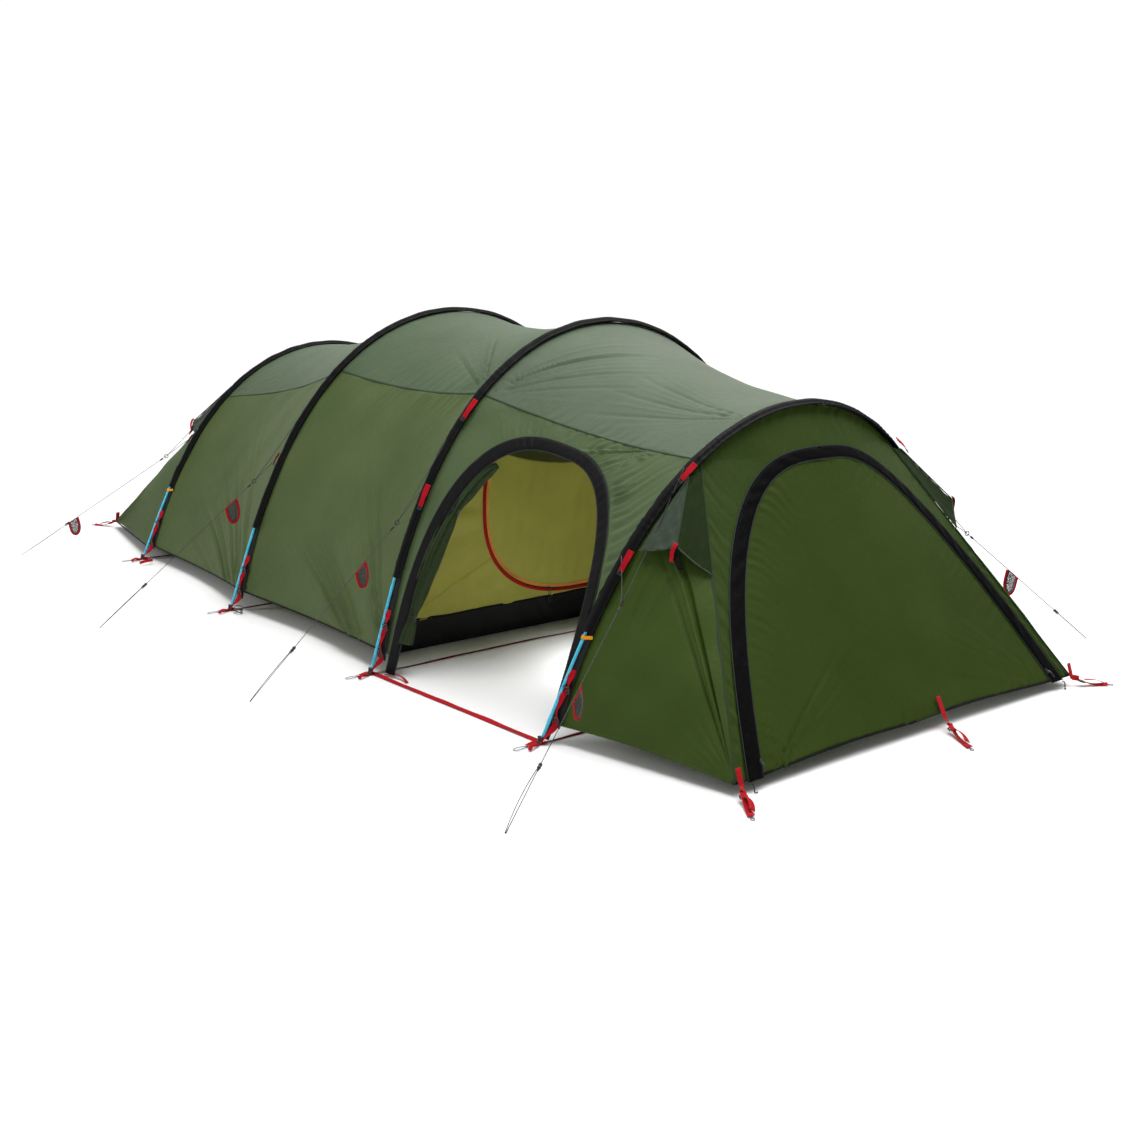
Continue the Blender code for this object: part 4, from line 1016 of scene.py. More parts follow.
for count, place in enumerate(toggles):
    at = int(place * len(climb))
    loop = add_ring(f"roll_loop_{count + 1}", centre[at], frames_along(centre)[0][at], width[at] * 1.12,
                    0.0016, black_cord)
    bar = centre[at] + out[at] * np.sign(out[at] @ [0, -1, 0]) * width[at] * 1.25
    peg_path = bar + np.linspace(-0.014, 0.014, 9)[:, None] * np.array([0.25, 0.0, 1.0])
    waisted = 0.0036 * np.array([0.6, 0.9, 1, 0.8, 0.7, 0.8, 1, 0.9, 0.6])
    toggle = add_tube(f"roll_toggle_{count + 1}", peg_path, waisted, 10, black_plastic)
    for part in (loop, toggle):
        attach(part, "tent")

# ==== the front end ====
# The front slopes down from the fourth arch to a hem on the ground.  It is a frame of cloth round a large
# zipped door, and the zip runs under a wide black flap.  A corner panel closes each side.
FRONT_HEM_X = 2.325
FRONT_CORNER_Y = 0.849
END_HEM_Z = 0.030
END_SEAM_U = 7.5 / 22
DOOR_TOP_Z = 0.835
DOOR_FOOT_Z = 0.034
DOOR_HALF_FOOT = 0.745
DOOR_TAPER = 0.38
# The corner panels and rear wall are the door's green painted a little lighter: painted sheen at a slant.
end_cloth_painted_sheen = cloth_material("end_cloth_painted_sheen", (0.049, 0.083, 0.0135), (0.037, 0.065, 0.009), specular=0.12)
door_cloth = cloth_material("door_cloth", (0.0335, 0.059, 0.005), (0.0265, 0.048, 0.0034), specular=0.11)
header_cloth = cloth_material("header_cloth", (0.034, 0.060, 0.0075), (0.025, 0.047, 0.0048), specular=0.11)
seam_top = arch_at(3, END_SEAM_U, FLY_DEPTH)
wall_top = arch_at(3, 0.5, FLY_DEPTH)


def front_edge_at(z):
    """x and y of the front wall's edge: a straight seam from the corner up to the arch, then the arch."""
    z = np.asarray(z, float)
    share = (z - END_HEM_Z) / (seam_top[2] - END_HEM_Z)
    us, ys, zs = arches[3]
    half = len(us) // 2 + 1
    on_arch = np.abs(np.interp(z + FLY_DEPTH, zs[:half], ys[:half]))
    x = np.where(share < 1, FRONT_HEM_X + share * (seam_top[0] - FRONT_HEM_X), ARCH_X[3] + ARCH_LEAN[3] * z)
    y = np.where(share < 1, FRONT_CORNER_Y + share * (abs(seam_top[1]) - FRONT_CORNER_Y), on_arch)
    return x, y


def front_at(y, z, depth=0.0):
    """The front wall: straight up its middle, and curving back to its edges as the square of y."""
    y, z = np.broadcast_arrays(np.asarray(y, float), np.asarray(z, float))
    middle = FRONT_HEM_X + (z - END_HEM_Z) / (wall_top[2] - END_HEM_Z) * (wall_top[0] - FRONT_HEM_X)
    edge_x, edge_y = front_edge_at(np.minimum(z, wall_top[2] - 0.02))
    x = middle - (middle - edge_x) * np.minimum(np.abs(y) / np.maximum(edge_y, 0.1), 1.0) ** 2
    return np.stack([x - depth, y, z], -1)


def front_door_half(z, margin=0.0, top=0.0):
    """Half the door's width at a height: a taper, closed over at the top by a superellipse of power 3."""
    climb = np.clip(z / (DOOR_TOP_Z + top), 0, 1)
    return (DOOR_HALF_FOOT + margin - DOOR_TAPER * z) * (1 - climb**3) ** (1 / 3)


def door_outline(theta, margin=0.0, top=0.0, foot=DOOR_FOOT_Z):
    """The outline as y and z, over theta from -1 at the near foot to 1 at the far foot, z going as a sine."""
    z = foot + (DOOR_TOP_Z + top - foot) * np.cos(0.5 * math.pi * np.asarray(theta, float))
    return np.sign(theta) * front_door_half(z, margin, top), z


k = np.linspace(0, 1, 360)
leg_z = np.linspace(DOOR_FOOT_Z, seam_top[2], 7)
arc = arch_at(3, np.arange(8, 15) / 22, FLY_DEPTH + 0.001)
outer_y = np.concatenate([-(front_edge_at(leg_z)[1] - 0.003), arc[:, 1],
                          (front_edge_at(leg_z)[1] - 0.003)[::-1]])
outer_z = np.concatenate([leg_z, arc[:, 2], leg_z[::-1]])
knots = np.linspace(0, 1, len(outer_y))
y0, z0 = np.interp(k, knots, outer_y), np.interp(k, knots, outer_z)
arch_part = (k > 0.305) & (k < 0.695)


fine = arch_at(3, np.interp(k, [0.3, 0.7], [END_SEAM_U, 1 - END_SEAM_U]), FLY_DEPTH + 0.001)
y0, z0 = np.where(arch_part, fine[:, 1], y0), np.where(arch_part, fine[:, 2], z0)
y1, z1 = door_outline(2 * k - 1, 0.001, 0.001)
s = np.linspace(0, 1, 60)[:, None]
y, z = y0 + (y1 - y0) * s, z0 + (z1 - z0) * s
wall = front_at(y, z)
reach = np.hypot(y1 - y0, z1 - z0)
height = 0.0022 * slack(y, z, 0.3, 201)
height += 0.0016 * gathers(k * 3.3 + 0.2 * s, (1 - s) * reach, 0.045, 0.06, 203)
height += 0.0020 * gathers(k * 3.3, s * reach, 0.055, 0.07, 205)
low_legs = np.clip(1 - z / 0.5, 0, 1)
height += 0.0035 * low_legs * random_wave((s - 0.1) * 2.6 + 0.4 * z, 207) * np.sin(np.pi * s)
height *= np.clip(s / 0.05, 0, 1) * np.clip((1 - s) / 0.04, 0, 1)
wall = pushed_out(wall, -height)[:, ::-1]
header = add_grid("front_header_cloth", wall, header_cloth)
finish_cloth(header, "tent", ["front_header"])

theta = np.linspace(0, 0.995, 130)[:, None]
z_rows = DOOR_FOOT_Z + (DOOR_TOP_Z - DOOR_FOOT_Z - 0.001) * np.sin(0.5 * math.pi * theta)
s = np.linspace(-1, 1, 170)[None, :]
y, z = front_door_half(z_rows, -0.001, -0.001) * s, z_rows + 0 * s
hem_rise = 0.016 * (1 - s**2) * np.clip(1 - (z - DOOR_FOOT_Z) / 0.25, 0, 1)
z = z + hem_rise * (0.55 + 0.45 * np.abs(np.sin(math.pi * (s * 0.97 + 0.06))))
door = front_at(y, z)
height = 0.0025 * slack(y, z, 0.5, 211) * np.clip((1 - np.abs(s)) / 0.2, 0, 1)
for side, seed in ((NEAR, 213), (FAR, 214)):
    corner = (side * DOOR_HALF_FOOT, 0.0)
    heading = 90 + side * 62
    height += 0.0030 * fan_folds(y, z, corner, heading, 22, 0.60, 10, seed)
    edge_gap = np.abs(side * front_door_half(z_rows) - y)
    height += 0.0019 * gathers(z + 0.45 * edge_gap, edge_gap, 0.034, 0.11, seed + 4)
height += 0.003 * np.exp(-((z - 0.085) / 0.03) ** 2) * (1 - s**2) * np.sin(3.4 * s + 1)
height += 0.0013 * gathers(y, z - DOOR_FOOT_Z, 0.045, 0.05, 221)
height *= np.clip((1 - np.abs(s)) / 0.03, 0, 1) * np.clip((1 - theta) / 0.03, 0, 1)
door = pushed_out(door, height)
front_door = add_grid("front_door_cloth", door, door_cloth)
finish_cloth(front_door, "front_door", ["front_door"])

theta = np.linspace(-1, 1, 520)
lap = np.linspace(0, 1, 14)[:, None]
rows = [door_outline(theta, 0.072 * share, 0.040 * share, 0.028) for share in lap[:, 0]]
y, z = np.array([row[0] for row in rows]), np.array([row[1] for row in rows])
y = y - np.sign(theta) * lap * (0.010 + 0.008 * np.clip(z / DOOR_TOP_Z, 0, 1))
swell = 0.0052 * (1 - (2 * lap - 1) ** 6) + 0.0016
puckers = 0.0010 * random_wave(theta * 11 + 0.75 * lap, 231) + 0.0003 * random_wave(theta * 44 - lap, 233)
points = front_at(y, z)
points = pushed_out(points, swell + puckers * (1 - (2 * lap - 1) ** 8))
front_flap_cloth = cloth_material("front_flap_cloth", (0.0034, 0.0034, 0.0037), (0.0014, 0.0014, 0.0016),
                                  specular=0.04, crinkle=1.3)
flap = add_grid("front_zip_flap", points, front_flap_cloth)
finish_cloth(flap, "tent")
for edge_name, row in (("inner", 0), ("outer", -1)):
    line, _ = along_line(points[row], 0.010)
    piping = add_tube(f"front_piping_{edge_name}", line, 0.0022, 8, piping_cloth, (1.0, 0.0, 0.2))
    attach(piping, "tent")

# ==== the corner panels ====
# Each front corner is a triangle of cloth from the fourth arch's leg to the pegged corner.  Its vertical seam
# is taped, a dark patch stiffens the corner, and long folds drop from the vent hood.
corner_at = np.array([FRONT_HEM_X, -FRONT_CORNER_Y, END_HEM_Z + 0.004])
foot_u = arch_u(3, HEM_Z - 0.012)
u = np.linspace(foot_u, END_SEAM_U, 150)
s = np.linspace(0.004, 0.985, 104)[:, None]
for side in (NEAR, FAR):
    label = SIDE_NAMES[side]
    low = np.clip(1 - (u - foot_u) / 0.10, 0, 1)
    start = arch_at(3, u, FLY_DEPTH) + np.stack([0 * u, 0.014 * low**2, 0.0 * u], -1)
    cone = (1 - s[..., None]) * start + s[..., None] * corner_at
    bow = 0.012 * np.sin(math.pi * s) * np.clip(1 - (u - foot_u) / 0.06, 0, 1)
    cone = cone + np.stack([0 * bow, 0.35 * bow, bow], -1)
    ahead, up = cone[..., 0] - ARCH_X[3], cone[..., 2]
    height = 0.003 * slack(ahead, up, 0.28, 241 + side)
    fade = np.clip((0.97 - s) / 0.25, 0, 1) * np.clip(s / 0.08, 0, 1)
    share_u = (u - foot_u) / (END_SEAM_U - foot_u)
    lines = np.exp(-(((share_u - 0.83) / 0.012) ** 2)) - 0.8 * np.exp(-(((share_u - 0.795) / 0.011) ** 2))
    lines = lines + 0.6 * np.exp(-(((share_u - 0.735) / 0.014) ** 2))
    height += 0.013 * lines * fade * np.clip((s - 0.10) / 0.25, 0, 1)
    height += 0.0032 * random_wave(share_u * 8 + 0.3 * s, 245 + side) * np.clip((s - 0.55) / 0.35, 0,
                                                                                1) * fade
    under_hood = np.clip(1 - ((up - 0.50) / 0.13) ** 2, 0, 1) * np.clip(1 - s / 0.5, 0, 1)
    height += 0.0045 * under_hood * random_wave(ahead / 0.045, 247 + side)
    height += 0.002 * gathers(up, ahead, 0.06, 0.06, 249 + side)
    height *= np.clip(np.minimum(share_u, 1 - share_u) / 0.02, 0.15, 1) * np.clip((1 - s) / 0.1, 0, 1)
    cone = pushed_out(cone, height)
    grid = np.swapaxes(cone, 0, 1)
    shaped = grid if side == NEAR else mirrored(grid, FAR)[:, ::-1]
    panel = add_grid(f"front_corner_cloth_{label}", shaped, end_cloth_painted_sheen)
    finish_cloth(panel, "tent", [f"front_corner_{label}"])
    corner = np.array([FRONT_HEM_X, -FRONT_CORNER_Y, END_HEM_Z])
    line = seam_top + (corner - seam_top) * np.linspace(0.0, 0.995, 60)[:, None]
    add_seam(f"front_corner_seam_{label}", mirrored(line + [0.0, -0.0022, 0.0], side),
             (0.45, side * 0.9, 0.2), 0.010)
    line = cone[0] + [0.0, -0.001, 0.001]
    add_seam(f"front_corner_hem_{label}", mirrored(line, side), (0.0, side, 0.2), 0.006, binding_cloth)
    patch_s = np.linspace(0.80, 0.99, 16)[:, None]
    patch_u = np.linspace(0, 1, 24)
    columns = (patch_u * 0.999 * (len(u) - 1)).astype(int)
    rows = (np.interp(patch_s[:, 0], s[:, 0], np.arange(len(s)))).astype(int)
    patch = pushed_out(cone[np.ix_(rows, columns)], 0.0016)
    patch = np.swapaxes(patch, 0, 1)
    shaped = patch if side == NEAR else mirrored(patch, FAR)[:, ::-1]
    stiffener = add_grid(f"corner_patch_{label}", shaped, seam_cloth)
    finish_cloth(stiffener, "tent")

door_edge = 0.995 * front_door_half(DOOR_FOOT_Z)
for label, start, end, body in (("near", -FRONT_CORNER_Y, -door_edge, "tent"),
                                ("door", -door_edge, door_edge, "front_door"),
                                ("far", door_edge, FRONT_CORNER_Y, "tent")):
    hem_y = np.linspace(start, end, 120 if label == "door" else 12)
    s = np.clip(hem_y / DOOR_HALF_FOOT, -1, 1)
    rise = 0.016 * (1 - s**2) * (0.55 + 0.45 * np.abs(np.sin(math.pi * (s * 0.97 + 0.06))))
    hem = front_at(hem_y, DOOR_FOOT_Z + rise + 0.0015) + [0.0006, 0.0, 0.0004]
    edging = add_ribbon(f"front_hem_binding_{label}", hem, (1.0, 0.0, 0.6), 0.0075, 0.0026, binding_cloth)
    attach(edging, body)

# ==== vent hoods ====
# Beside each end's arch a small peaked hood of fly cloth stands over a vent.  A prop of stiff black tape
# holds its brim out, and a red tab on the brim pulls it open.
# One fly cloth: the hood's facet towards the light is painted paler (painted light), the other darker
# (painted shade).
hood_cloth_painted_light = cloth_material("hood_cloth_painted_light", (0.048, 0.068, 0.044), (0.026, 0.040, 0.023), crinkle=1.8)
hood_cloth_painted_shade = cloth_material("hood_cloth_painted_shade", (0.014, 0.028, 0.0045), (0.009, 0.019, 0.0025), specular=0.08)
HOODS = {
    "front": (3, (1.752, -0.728, 0.600), (1.882, -0.686, 0.628), (1.972, -0.636, 0.546)),
    "rear": (0, (-1.604, -0.728, 0.600), (-1.750, -0.664, 0.632), (-1.850, -0.650, 0.552)),
}
for end, (arch, *places) in HOODS.items():
    arch_side, peak, seam_side = (np.array(p) for p in places)
    forward = 1 if end == "front" else -1
    if end == "front":
        corner = np.array([FRONT_HEM_X, -FRONT_CORNER_Y, END_HEM_Z])
        seam_side = corner + (seam_top - corner) * (0.546 - END_HEM_Z) / (seam_top[2] - END_HEM_Z)
        seam_side = seam_side + [0.006, -0.006, 0]
    apex = arch_at(arch, 0.316, 0.004) + [forward * 0.026, 0.0, 0.0]
    seam_head = arch_at(arch, END_SEAM_U, FLY_DEPTH)
    seam_head = seam_head + (seam_side - seam_head) * 0.10 + [forward * 0.003, -0.002, 0.002]
    for side in (NEAR, FAR):
        label = f"{end}_{SIDE_NAMES[side]}"
        t = np.linspace(0, 1, 60)
        brim = np.where(t[:, None] < 0.5, arch_side + (peak - arch_side) * 2 * t[:, None],
                        peak + (seam_side - peak) * (2 * t[:, None] - 1))
        sag = 0.004 * np.sin(2 * math.pi * t) ** 2
        brim = brim - np.stack([0 * t, 0 * t, sag], -1)
        r = np.linspace(0.03, 1, 46)[:, None, None]
        head = apex + (seam_head - apex) * np.clip(2 * t[:, None] - 1, 0, 1)
        facets = head[None] + (brim - head)[None] * r
        crease = 0.0016 * random_wave(t[None] * 4 + 0.8 * r[..., 0], 261) * r[..., 0]
        crease = crease + 0.0025 * slack(t[None] * 0.3, 0.25 * r[..., 0], 0.09, 263)
        facets = facets + np.stack([0 * crease, -crease, 0.4 * crease], -1)
        # The parts named lit and dark are the painted light facet and the painted shade facet.
        for part, cut, cloth in (("lit", slice(0, 30), hood_cloth_painted_light), ("dark", slice(29, 60), hood_cloth_painted_shade)):
            piece = facets[:, cut][::-1] if end == "front" else facets[:, cut]
            shaped = piece if side == NEAR else mirrored(piece, FAR)[:, ::-1]
            hood = add_grid(f"vent_hood_{part}_{label}", shaped, cloth)
            nodes = [f"{end}_vent_hood_{SIDE_NAMES[side]}"] if part == "lit" else []
            finish_cloth(hood, "tent",
                         nodes)
        edge, _ = along_line(mirrored(brim, side), 0.012)
        rim = add_ribbon(f"hood_rim_{label}", edge, (0.1, side * 0.4, 1.0), 0.007, 0.0024, seam_cloth)
        ridge, _ = along_line(mirrored(np.array([apex + (peak - apex) * 0.03, peak]), side), 0.012)
        fold = add_ribbon(f"hood_ridge_{label}", ridge + [0, side * 0.0012, 0.0012], (0.1, side, 0.6), 0.005,
                          0.0022, seam_cloth)
        prop_end = peak + np.array([0.004 if end == "front" else -0.004, 0.010, -0.072])
        prop_end[1] = -0.672 if end == "front" else -0.65
        prop_bend = 0.5 * (peak + prop_end) + [0, -0.012, 0]
        prop_path, _ = along_line(mirrored(np.array([peak - [0, 0, 0.004], prop_bend, prop_end]), side),
                                  0.006)
        prop = add_ribbon(f"hood_prop_{label}", prop_path, (0.2, side, 0.2), 0.019, 0.003, binding_cloth)
        tab_path = quadratic(peak + [0, 0, 0.012], peak + [0.0, -0.022, 0.002],
                             peak + [-0.008, -0.014, -0.046], 14)
        tab = add_ribbon(f"hood_tab_{label}", mirrored(tab_path, side), (0.2, side, 0.3), 0.015,
                         WEBBING_THICKNESS, red_webbing)
        for part in (rim, fold, prop, tab):
            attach(part, "tent")

# ==== the rear end ====
# One cloth closes the rear: it fans down from the first arch to a low hem between two pegged corners.
REAR_HEM_X = -2.383
REAR_CORNER_Y = 0.870
foot_u = arch_u(0, HEM_Z - 0.012)
u = np.linspace(foot_u, 1 - foot_u, 240)
across = np.clip((u - END_SEAM_U) / (1 - 2 * END_SEAM_U), 0, 1)
start = arch_at(0, u, FLY_DEPTH) - [0.004, 0.0, 0.0]
end = np.stack([0 * u + REAR_HEM_X, REAR_CORNER_Y * (2 * across - 1), 0 * u + END_HEM_Z + 0.004], -1)
reach = np.where((across == 0) | (across == 1), 0.985, 0.998)
s = np.linspace(0.002, 1, 90)[:, None]
share = s * reach
cone = (1 - share[..., None]) * start + share[..., None] * end
low = np.clip(1 - (np.minimum(u, 1 - u) - foot_u) / 0.06, 0, 1)
bow = 0.012 * np.sin(math.pi * share) * low
hem_bow = 0.014 * np.sin(math.pi * across) * np.clip((share - 0.8) / 0.2, 0, 1)
cone = cone + np.stack([0 * bow, 0 * bow, bow + hem_bow], -1)
height = 0.004 * slack(cone[..., 1], cone[..., 2], 0.35, 271)
height += 0.0035 * random_wave(u * 40 + 0.3 * s, 273) * np.clip((s - 0.5) / 0.4, 0,
                                                                1) * np.clip((1 - s) / 0.1, 0, 1)
height += 0.0018 * gathers(u * 3, s * 0.9, 0.05, 0.07, 275)
height *= np.clip(s / 0.04, 0, 1) * np.clip(np.minimum(u - foot_u, 1 - foot_u - u) / 0.01, 0, 1)
cone = pushed_out(cone, -height)[:, ::-1]
rear = add_grid("rear_wall_cloth", cone, end_cloth_painted_sheen)
finish_cloth(rear, "tent", ["rear_wall"])
edge = np.concatenate([start[:1], cone[-1][::-1], start[-1:]])
edge, _ = along_line(edge + [0, 0, -0.001], 0.012)
edging = add_ribbon("rear_hem_binding", edge, (-1.0, 0.0, 0.3), 0.007, 0.0024, binding_cloth)
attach(edging, "tent")
for side in (NEAR, FAR):
    top = arch_at(0, END_SEAM_U, FLY_DEPTH)
    line = top + (np.array([REAR_HEM_X, -REAR_CORNER_Y, END_HEM_Z])
                  - top) * np.linspace(0.01, 0.99, 60)[:, None]
    add_seam(f"rear_corner_seam_{SIDE_NAMES[side]}", mirrored(line + [-0.003, -0.0016, 0], side),
             (-0.4, side * 0.9, 0.2), 0.012)

# ==== peg straps ====
# Red webbing leaves each corner and the middle of the front hem.  It runs through a small black buckle, its
# loose end hangs back, and a thin grey loop for the peg is tied to its tip.
FRONT_PEG_STRAPS = ((-0.836, 2.471, -0.926), (0.105, 2.512, 0.008), (0.836, 2.420, 0.962))
REAR_PEG_STRAPS = ((-0.858, -2.512, -0.953), (0.858, -2.512, 0.953))


def add_buckle(name, centre, along, out, size=1.0):
    """A ladder-lock: a flat frame with a middle bar, its outline squared off, standing square to out."""
    along = along / np.linalg.norm(along)
    across = np.cross(along, out)
    across /= np.linalg.norm(across)
    out = np.cross(across, along)
    a = np.linspace(0, 2 * math.pi, 33)
    wide, long = 0.0115 * size, 0.0100 * size
    square = 2 / 5
    ring_across = np.sign(np.cos(a)) * np.abs(np.cos(a)) ** square * wide
    ring_along = np.sign(np.sin(a)) * np.abs(np.sin(a)) ** square * long
    loop = centre + ring_across[:, None] * across + ring_along[:, None] * along
    frame = add_tube(name + "_frame", loop, 0.0021 * size, 8, black_plastic, out)
    bar = centre + np.linspace(-1, 1, 7)[:, None] * across * wide
    cross = add_tube(name + "_bar", bar, 0.0019 * size, 8, black_plastic, out)
    return [frame, cross]


for end, straps, hem_x in (("front", FRONT_PEG_STRAPS, FRONT_HEM_X), ("rear", REAR_PEG_STRAPS, REAR_HEM_X)):
    for count, (hem_y, tip_x, tip_y) in enumerate(straps):
        label = f"{end}_{count + 1}"
        middle = abs(hem_y) < 0.5
        way = 1 if end == "front" else -1
        rise = 0.070 if middle else 0.052
        top = np.array([hem_x - way * rise * 0.42, hem_y, END_HEM_Z + rise]) if middle else np.array(
            [hem_x - way * 0.010, hem_y, END_HEM_Z + rise])
        hem_point = np.array([hem_x + way * 0.010, hem_y, END_HEM_Z + 0.004])
        tip = np.array([tip_x, tip_y, 0.004])
        tip = tip - (tip - hem_point) / np.linalg.norm(tip - hem_point) * 0.012
        run = tip - hem_point
        lift = np.array([way * 0.006, 0, 0.0])
        first, _ = along_line(np.array([top + lift, hem_point + lift * 0.5, hem_point + run * 0.22]), 0.006)
        slope = hem_point + run * np.linspace(0.18, 1, 30)[:, None]
        slope[:, 2] -= 0.012 * np.sin(math.pi * np.linspace(0, 1, 30))
        slope[:, 2] = np.maximum(slope[:, 2], 0.0022)
        twist = np.stack([0.3 * np.sin(np.linspace(0, 3.0, 30)), 0.4 * np.sin(np.linspace(0.3, 4.0, 30)),
                          np.ones(30)], -1)
        upper = add_ribbon(f"peg_strap_top_{label}", first, (way, 0.0, 0.4), 0.020, 0.0017, red_webbing)
        lower = add_ribbon(f"peg_strap_{label}", slope, twist, 0.021, 0.0017, red_webbing)
        back = slope[6:24] + [0.0, 0.004, 0.0]
        back = back + np.stack([0 * back[:, 0], 0.010 * np.sin(np.linspace(0, 2.6, 18)),
                                0.006 + 0.008 * np.sin(np.linspace(0, 3.1, 18))], -1)
        tail = add_ribbon(f"peg_strap_tail_{label}", back, (0.1, 0.5, 1.0), 0.020, 0.0016, red_webbing)
        parts = [upper, lower, tail]
        parts += add_buckle(f"peg_buckle_{label}", hem_point + run * 0.30 + [0, 0, -0.009], run,
                            np.array([0, 0, 1.0]))
        end_at = slope[-1]
        away = run / np.linalg.norm(run)
        beside = np.cross(away, (0, 0, 1.0))
        a = np.linspace(0, 2 * math.pi, 25)
        loop = end_at + away * 0.006 + (0.007 * (1 - np.cos(a)))[:, None] * away
        loop = loop + (0.006 * np.sin(a))[:, None] * beside
        loop[:, 2] = 0.002
        parts.append(add_tube(f"peg_loop_{label}", loop, 0.0011, 6, guy_cord))
        for part in parts:
            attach(part, "front_door" if end == "front" and middle and part is upper else "tent")
        if count == 0:
            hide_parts(f"{end}_hem_strap")

# ==== the front door's zip sliders ====
# Two black sliders ride low on the door's coil zip, each with a short black pull.
for side in (NEAR, FAR):
    label = SIDE_NAMES[side]
    ends = []
    for z in (0.070, 0.370):
        y = front_door_half(z, 0.002) + 0.0055
        ends.append(front_at(side * y, z) + [0.0085, 0.0, 0.0])
    start, along = ends[0], (ends[1] - ends[0]) / np.linalg.norm(ends[1] - ends[0])
    out = np.array([0.86, 0.0, 0.5])
    body_path = start + along * np.linspace(-0.009, 0.009, 9)[:, None]
    wide = np.array([0.004, 0.0085, 0.0105, 0.0105, 0.0095, 0.0085, 0.008, 0.007, 0.004])
    body = add_ribbon(f"front_slider_{label}", body_path, out, wide, 0.0042, black_plastic)
    pull_path = quadratic(start + out * 0.004, start + out * 0.014 - along * 0.006,
                          start + out * 0.010 - along * 0.030, 12)
    pull = add_ribbon(f"front_slider_pull_{label}", pull_path, out, 0.006, 0.0018, black_plastic)
    for part in (body, pull):
        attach(part, f"front_zip_slider_{label}")
    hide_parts(f"front_zip_slider_{label}")

# Beside each front corner a short black cord from the door's zip garage lies bent on the ground.
for side in (NEAR, FAR):
    start = np.array([FRONT_HEM_X + 0.006, -0.792, 0.026])
    bend = quadratic(start, start + [0.014, 0.003, 0.004], start + [0.014, 0.004, -0.022], 14)
    tail = quadratic(bend[-1], bend[-1] + [0.006, -0.003, -0.001], bend[-1] + [0.004, 0.009, -0.0005], 10)
    loop = np.concatenate([bend, tail[1:]])
    stub = add_tube(f"corner_cord_{SIDE_NAMES[side]}", mirrored(loop, side), 0.0019, 8, black_cord)
    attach(stub, "tent")

# ==== the inner cabin ====
# Hung inside the fly: thin breathable yellow-olive nylon on a black coated floor tray.  Its front has a
# D-shaped door whose zip is red outside and orange inside, and above a sagging line its top is painted
# dark: painted shade.  The pale cloth is given a painted glow for the daylight through the fly, and the cabin
# roof is painted darker: painted shade under the fly.
TUB_REAR_X, TUB_FRONT_X = -1.500, 0.556
TUB_HALF_WIDTH = 0.900
TUB_HEIGHT = 0.115
INNER_DEPTH = 0.065
# The cabin cloth glows a little by emission: a painted glow standing for daylight through the fly.
inner_cloth = cloth_material("inner_cloth", (0.295, 0.282, 0.052), (0.235, 0.225, 0.039), ripstop=0.5,
                             glow=0.24)
# The cabin roof is the same cloth painted darker, with less glow: painted shade under the fly.
inner_roof_cloth_painted_shade = cloth_material("inner_roof_cloth_painted_shade", (0.20, 0.205, 0.05), (0.15, 0.16, 0.035), ripstop=0.5,
                                  glow=0.10)
tub_cloth = cloth_material("tub_cloth", (0.007, 0.007, 0.008), (0.004, 0.004, 0.004), specular=0.25,
                           sheen=0.02)


front_wall_cloth = inner_cloth.copy()
front_wall_cloth.name = "front_wall_cloth"
tree = front_wall_cloth.node_tree
# Above a line that sags with y squared, the front wall is painted dark: painted shade on the same cloth.
where = add_node(tree, "SeparateXYZ")
tree.links.new(add_node(tree, "TexCoord").outputs["Object"], where.inputs[0])
sagging = combine(tree, "MULTIPLY", where.outputs["Y"], where.outputs["Y"])
edge = combine(tree, "ADD", combine(tree, "MULTIPLY", sagging, 0.45), 0.660)
painted_shade_mask = remap(tree, combine(tree, "SUBTRACT", where.outputs["Z"], edge), -0.003, 0.003)
front_shader = tree.nodes["Principled BSDF"]
cloth_colour = front_shader.inputs["Base Color"].links[0].from_socket
# capped is the cloth's colour with that painted shade above the line, used for base colour and glow.
capped = mix_colours(tree, painted_shade_mask, cloth_colour, (0.035, 0.038, 0.010))
tree.links.new(capped, front_shader.inputs["Base Color"])
tree.links.new(capped, front_shader.inputs["Emission Color"])


def cabin_at(u, x, depth=INNER_DEPTH):
    """The cabin's cloth at one place along the tent: the fly's shape, moved in."""
    u, x = np.broadcast_arrays(np.asarray(u, float), np.asarray(x, float))
    points = np.zeros((*u.shape, 3))
    for b in (0, 1):
        mine = (x < ARCH_X[1]) == (b == 0)
        v = (x[mine] - ARCH_X[b]) / BAY_LENGTHS[b]
        points[mine] = fly_at(b, u[mine], v, depth)
    points[..., 0] = x
    return points


xs = np.linspace(TUB_REAR_X + 0.002, TUB_FRONT_X - 0.002, 150)
seam = 7 / 22
for side in (NEAR, FAR):
    us = np.linspace(2 / 22, seam, 84)
    points = cabin_at(us[:, None] + 0 * xs, xs[None, :] + 0 * us[:, None])
    low = np.stack([xs, 0 * xs - TUB_HALF_WIDTH, 0 * xs + TUB_HEIGHT], -1)
    skirt = low[None] + (points[:1] - low[None]) * np.linspace(0, 0.96, 10)[:, None, None]
    points = np.concatenate([skirt, points])
    rows = np.linspace(0, 1, len(points))[:, None]
    folds = 0.006 * slack(xs[None, :], rows, 0.4, 301 + side)
    folds = folds + 0.003 * random_wave(xs[None, :] / 0.09 + rows,
                                        303 + side) * (1 - rows) * np.clip(rows / 0.05, 0, 1)
    points = pushed_out(points, folds * np.clip((1 - rows) / 0.05, 0, 1))
    shaped = points if side == NEAR else mirrored(points, FAR)[:, ::-1]
    wall = add_grid(f"inner_side_cloth_{SIDE_NAMES[side]}", shaped, inner_cloth)
    finish_cloth(wall, "tent",
                 [f"inner_side_{SIDE_NAMES[side]}"])

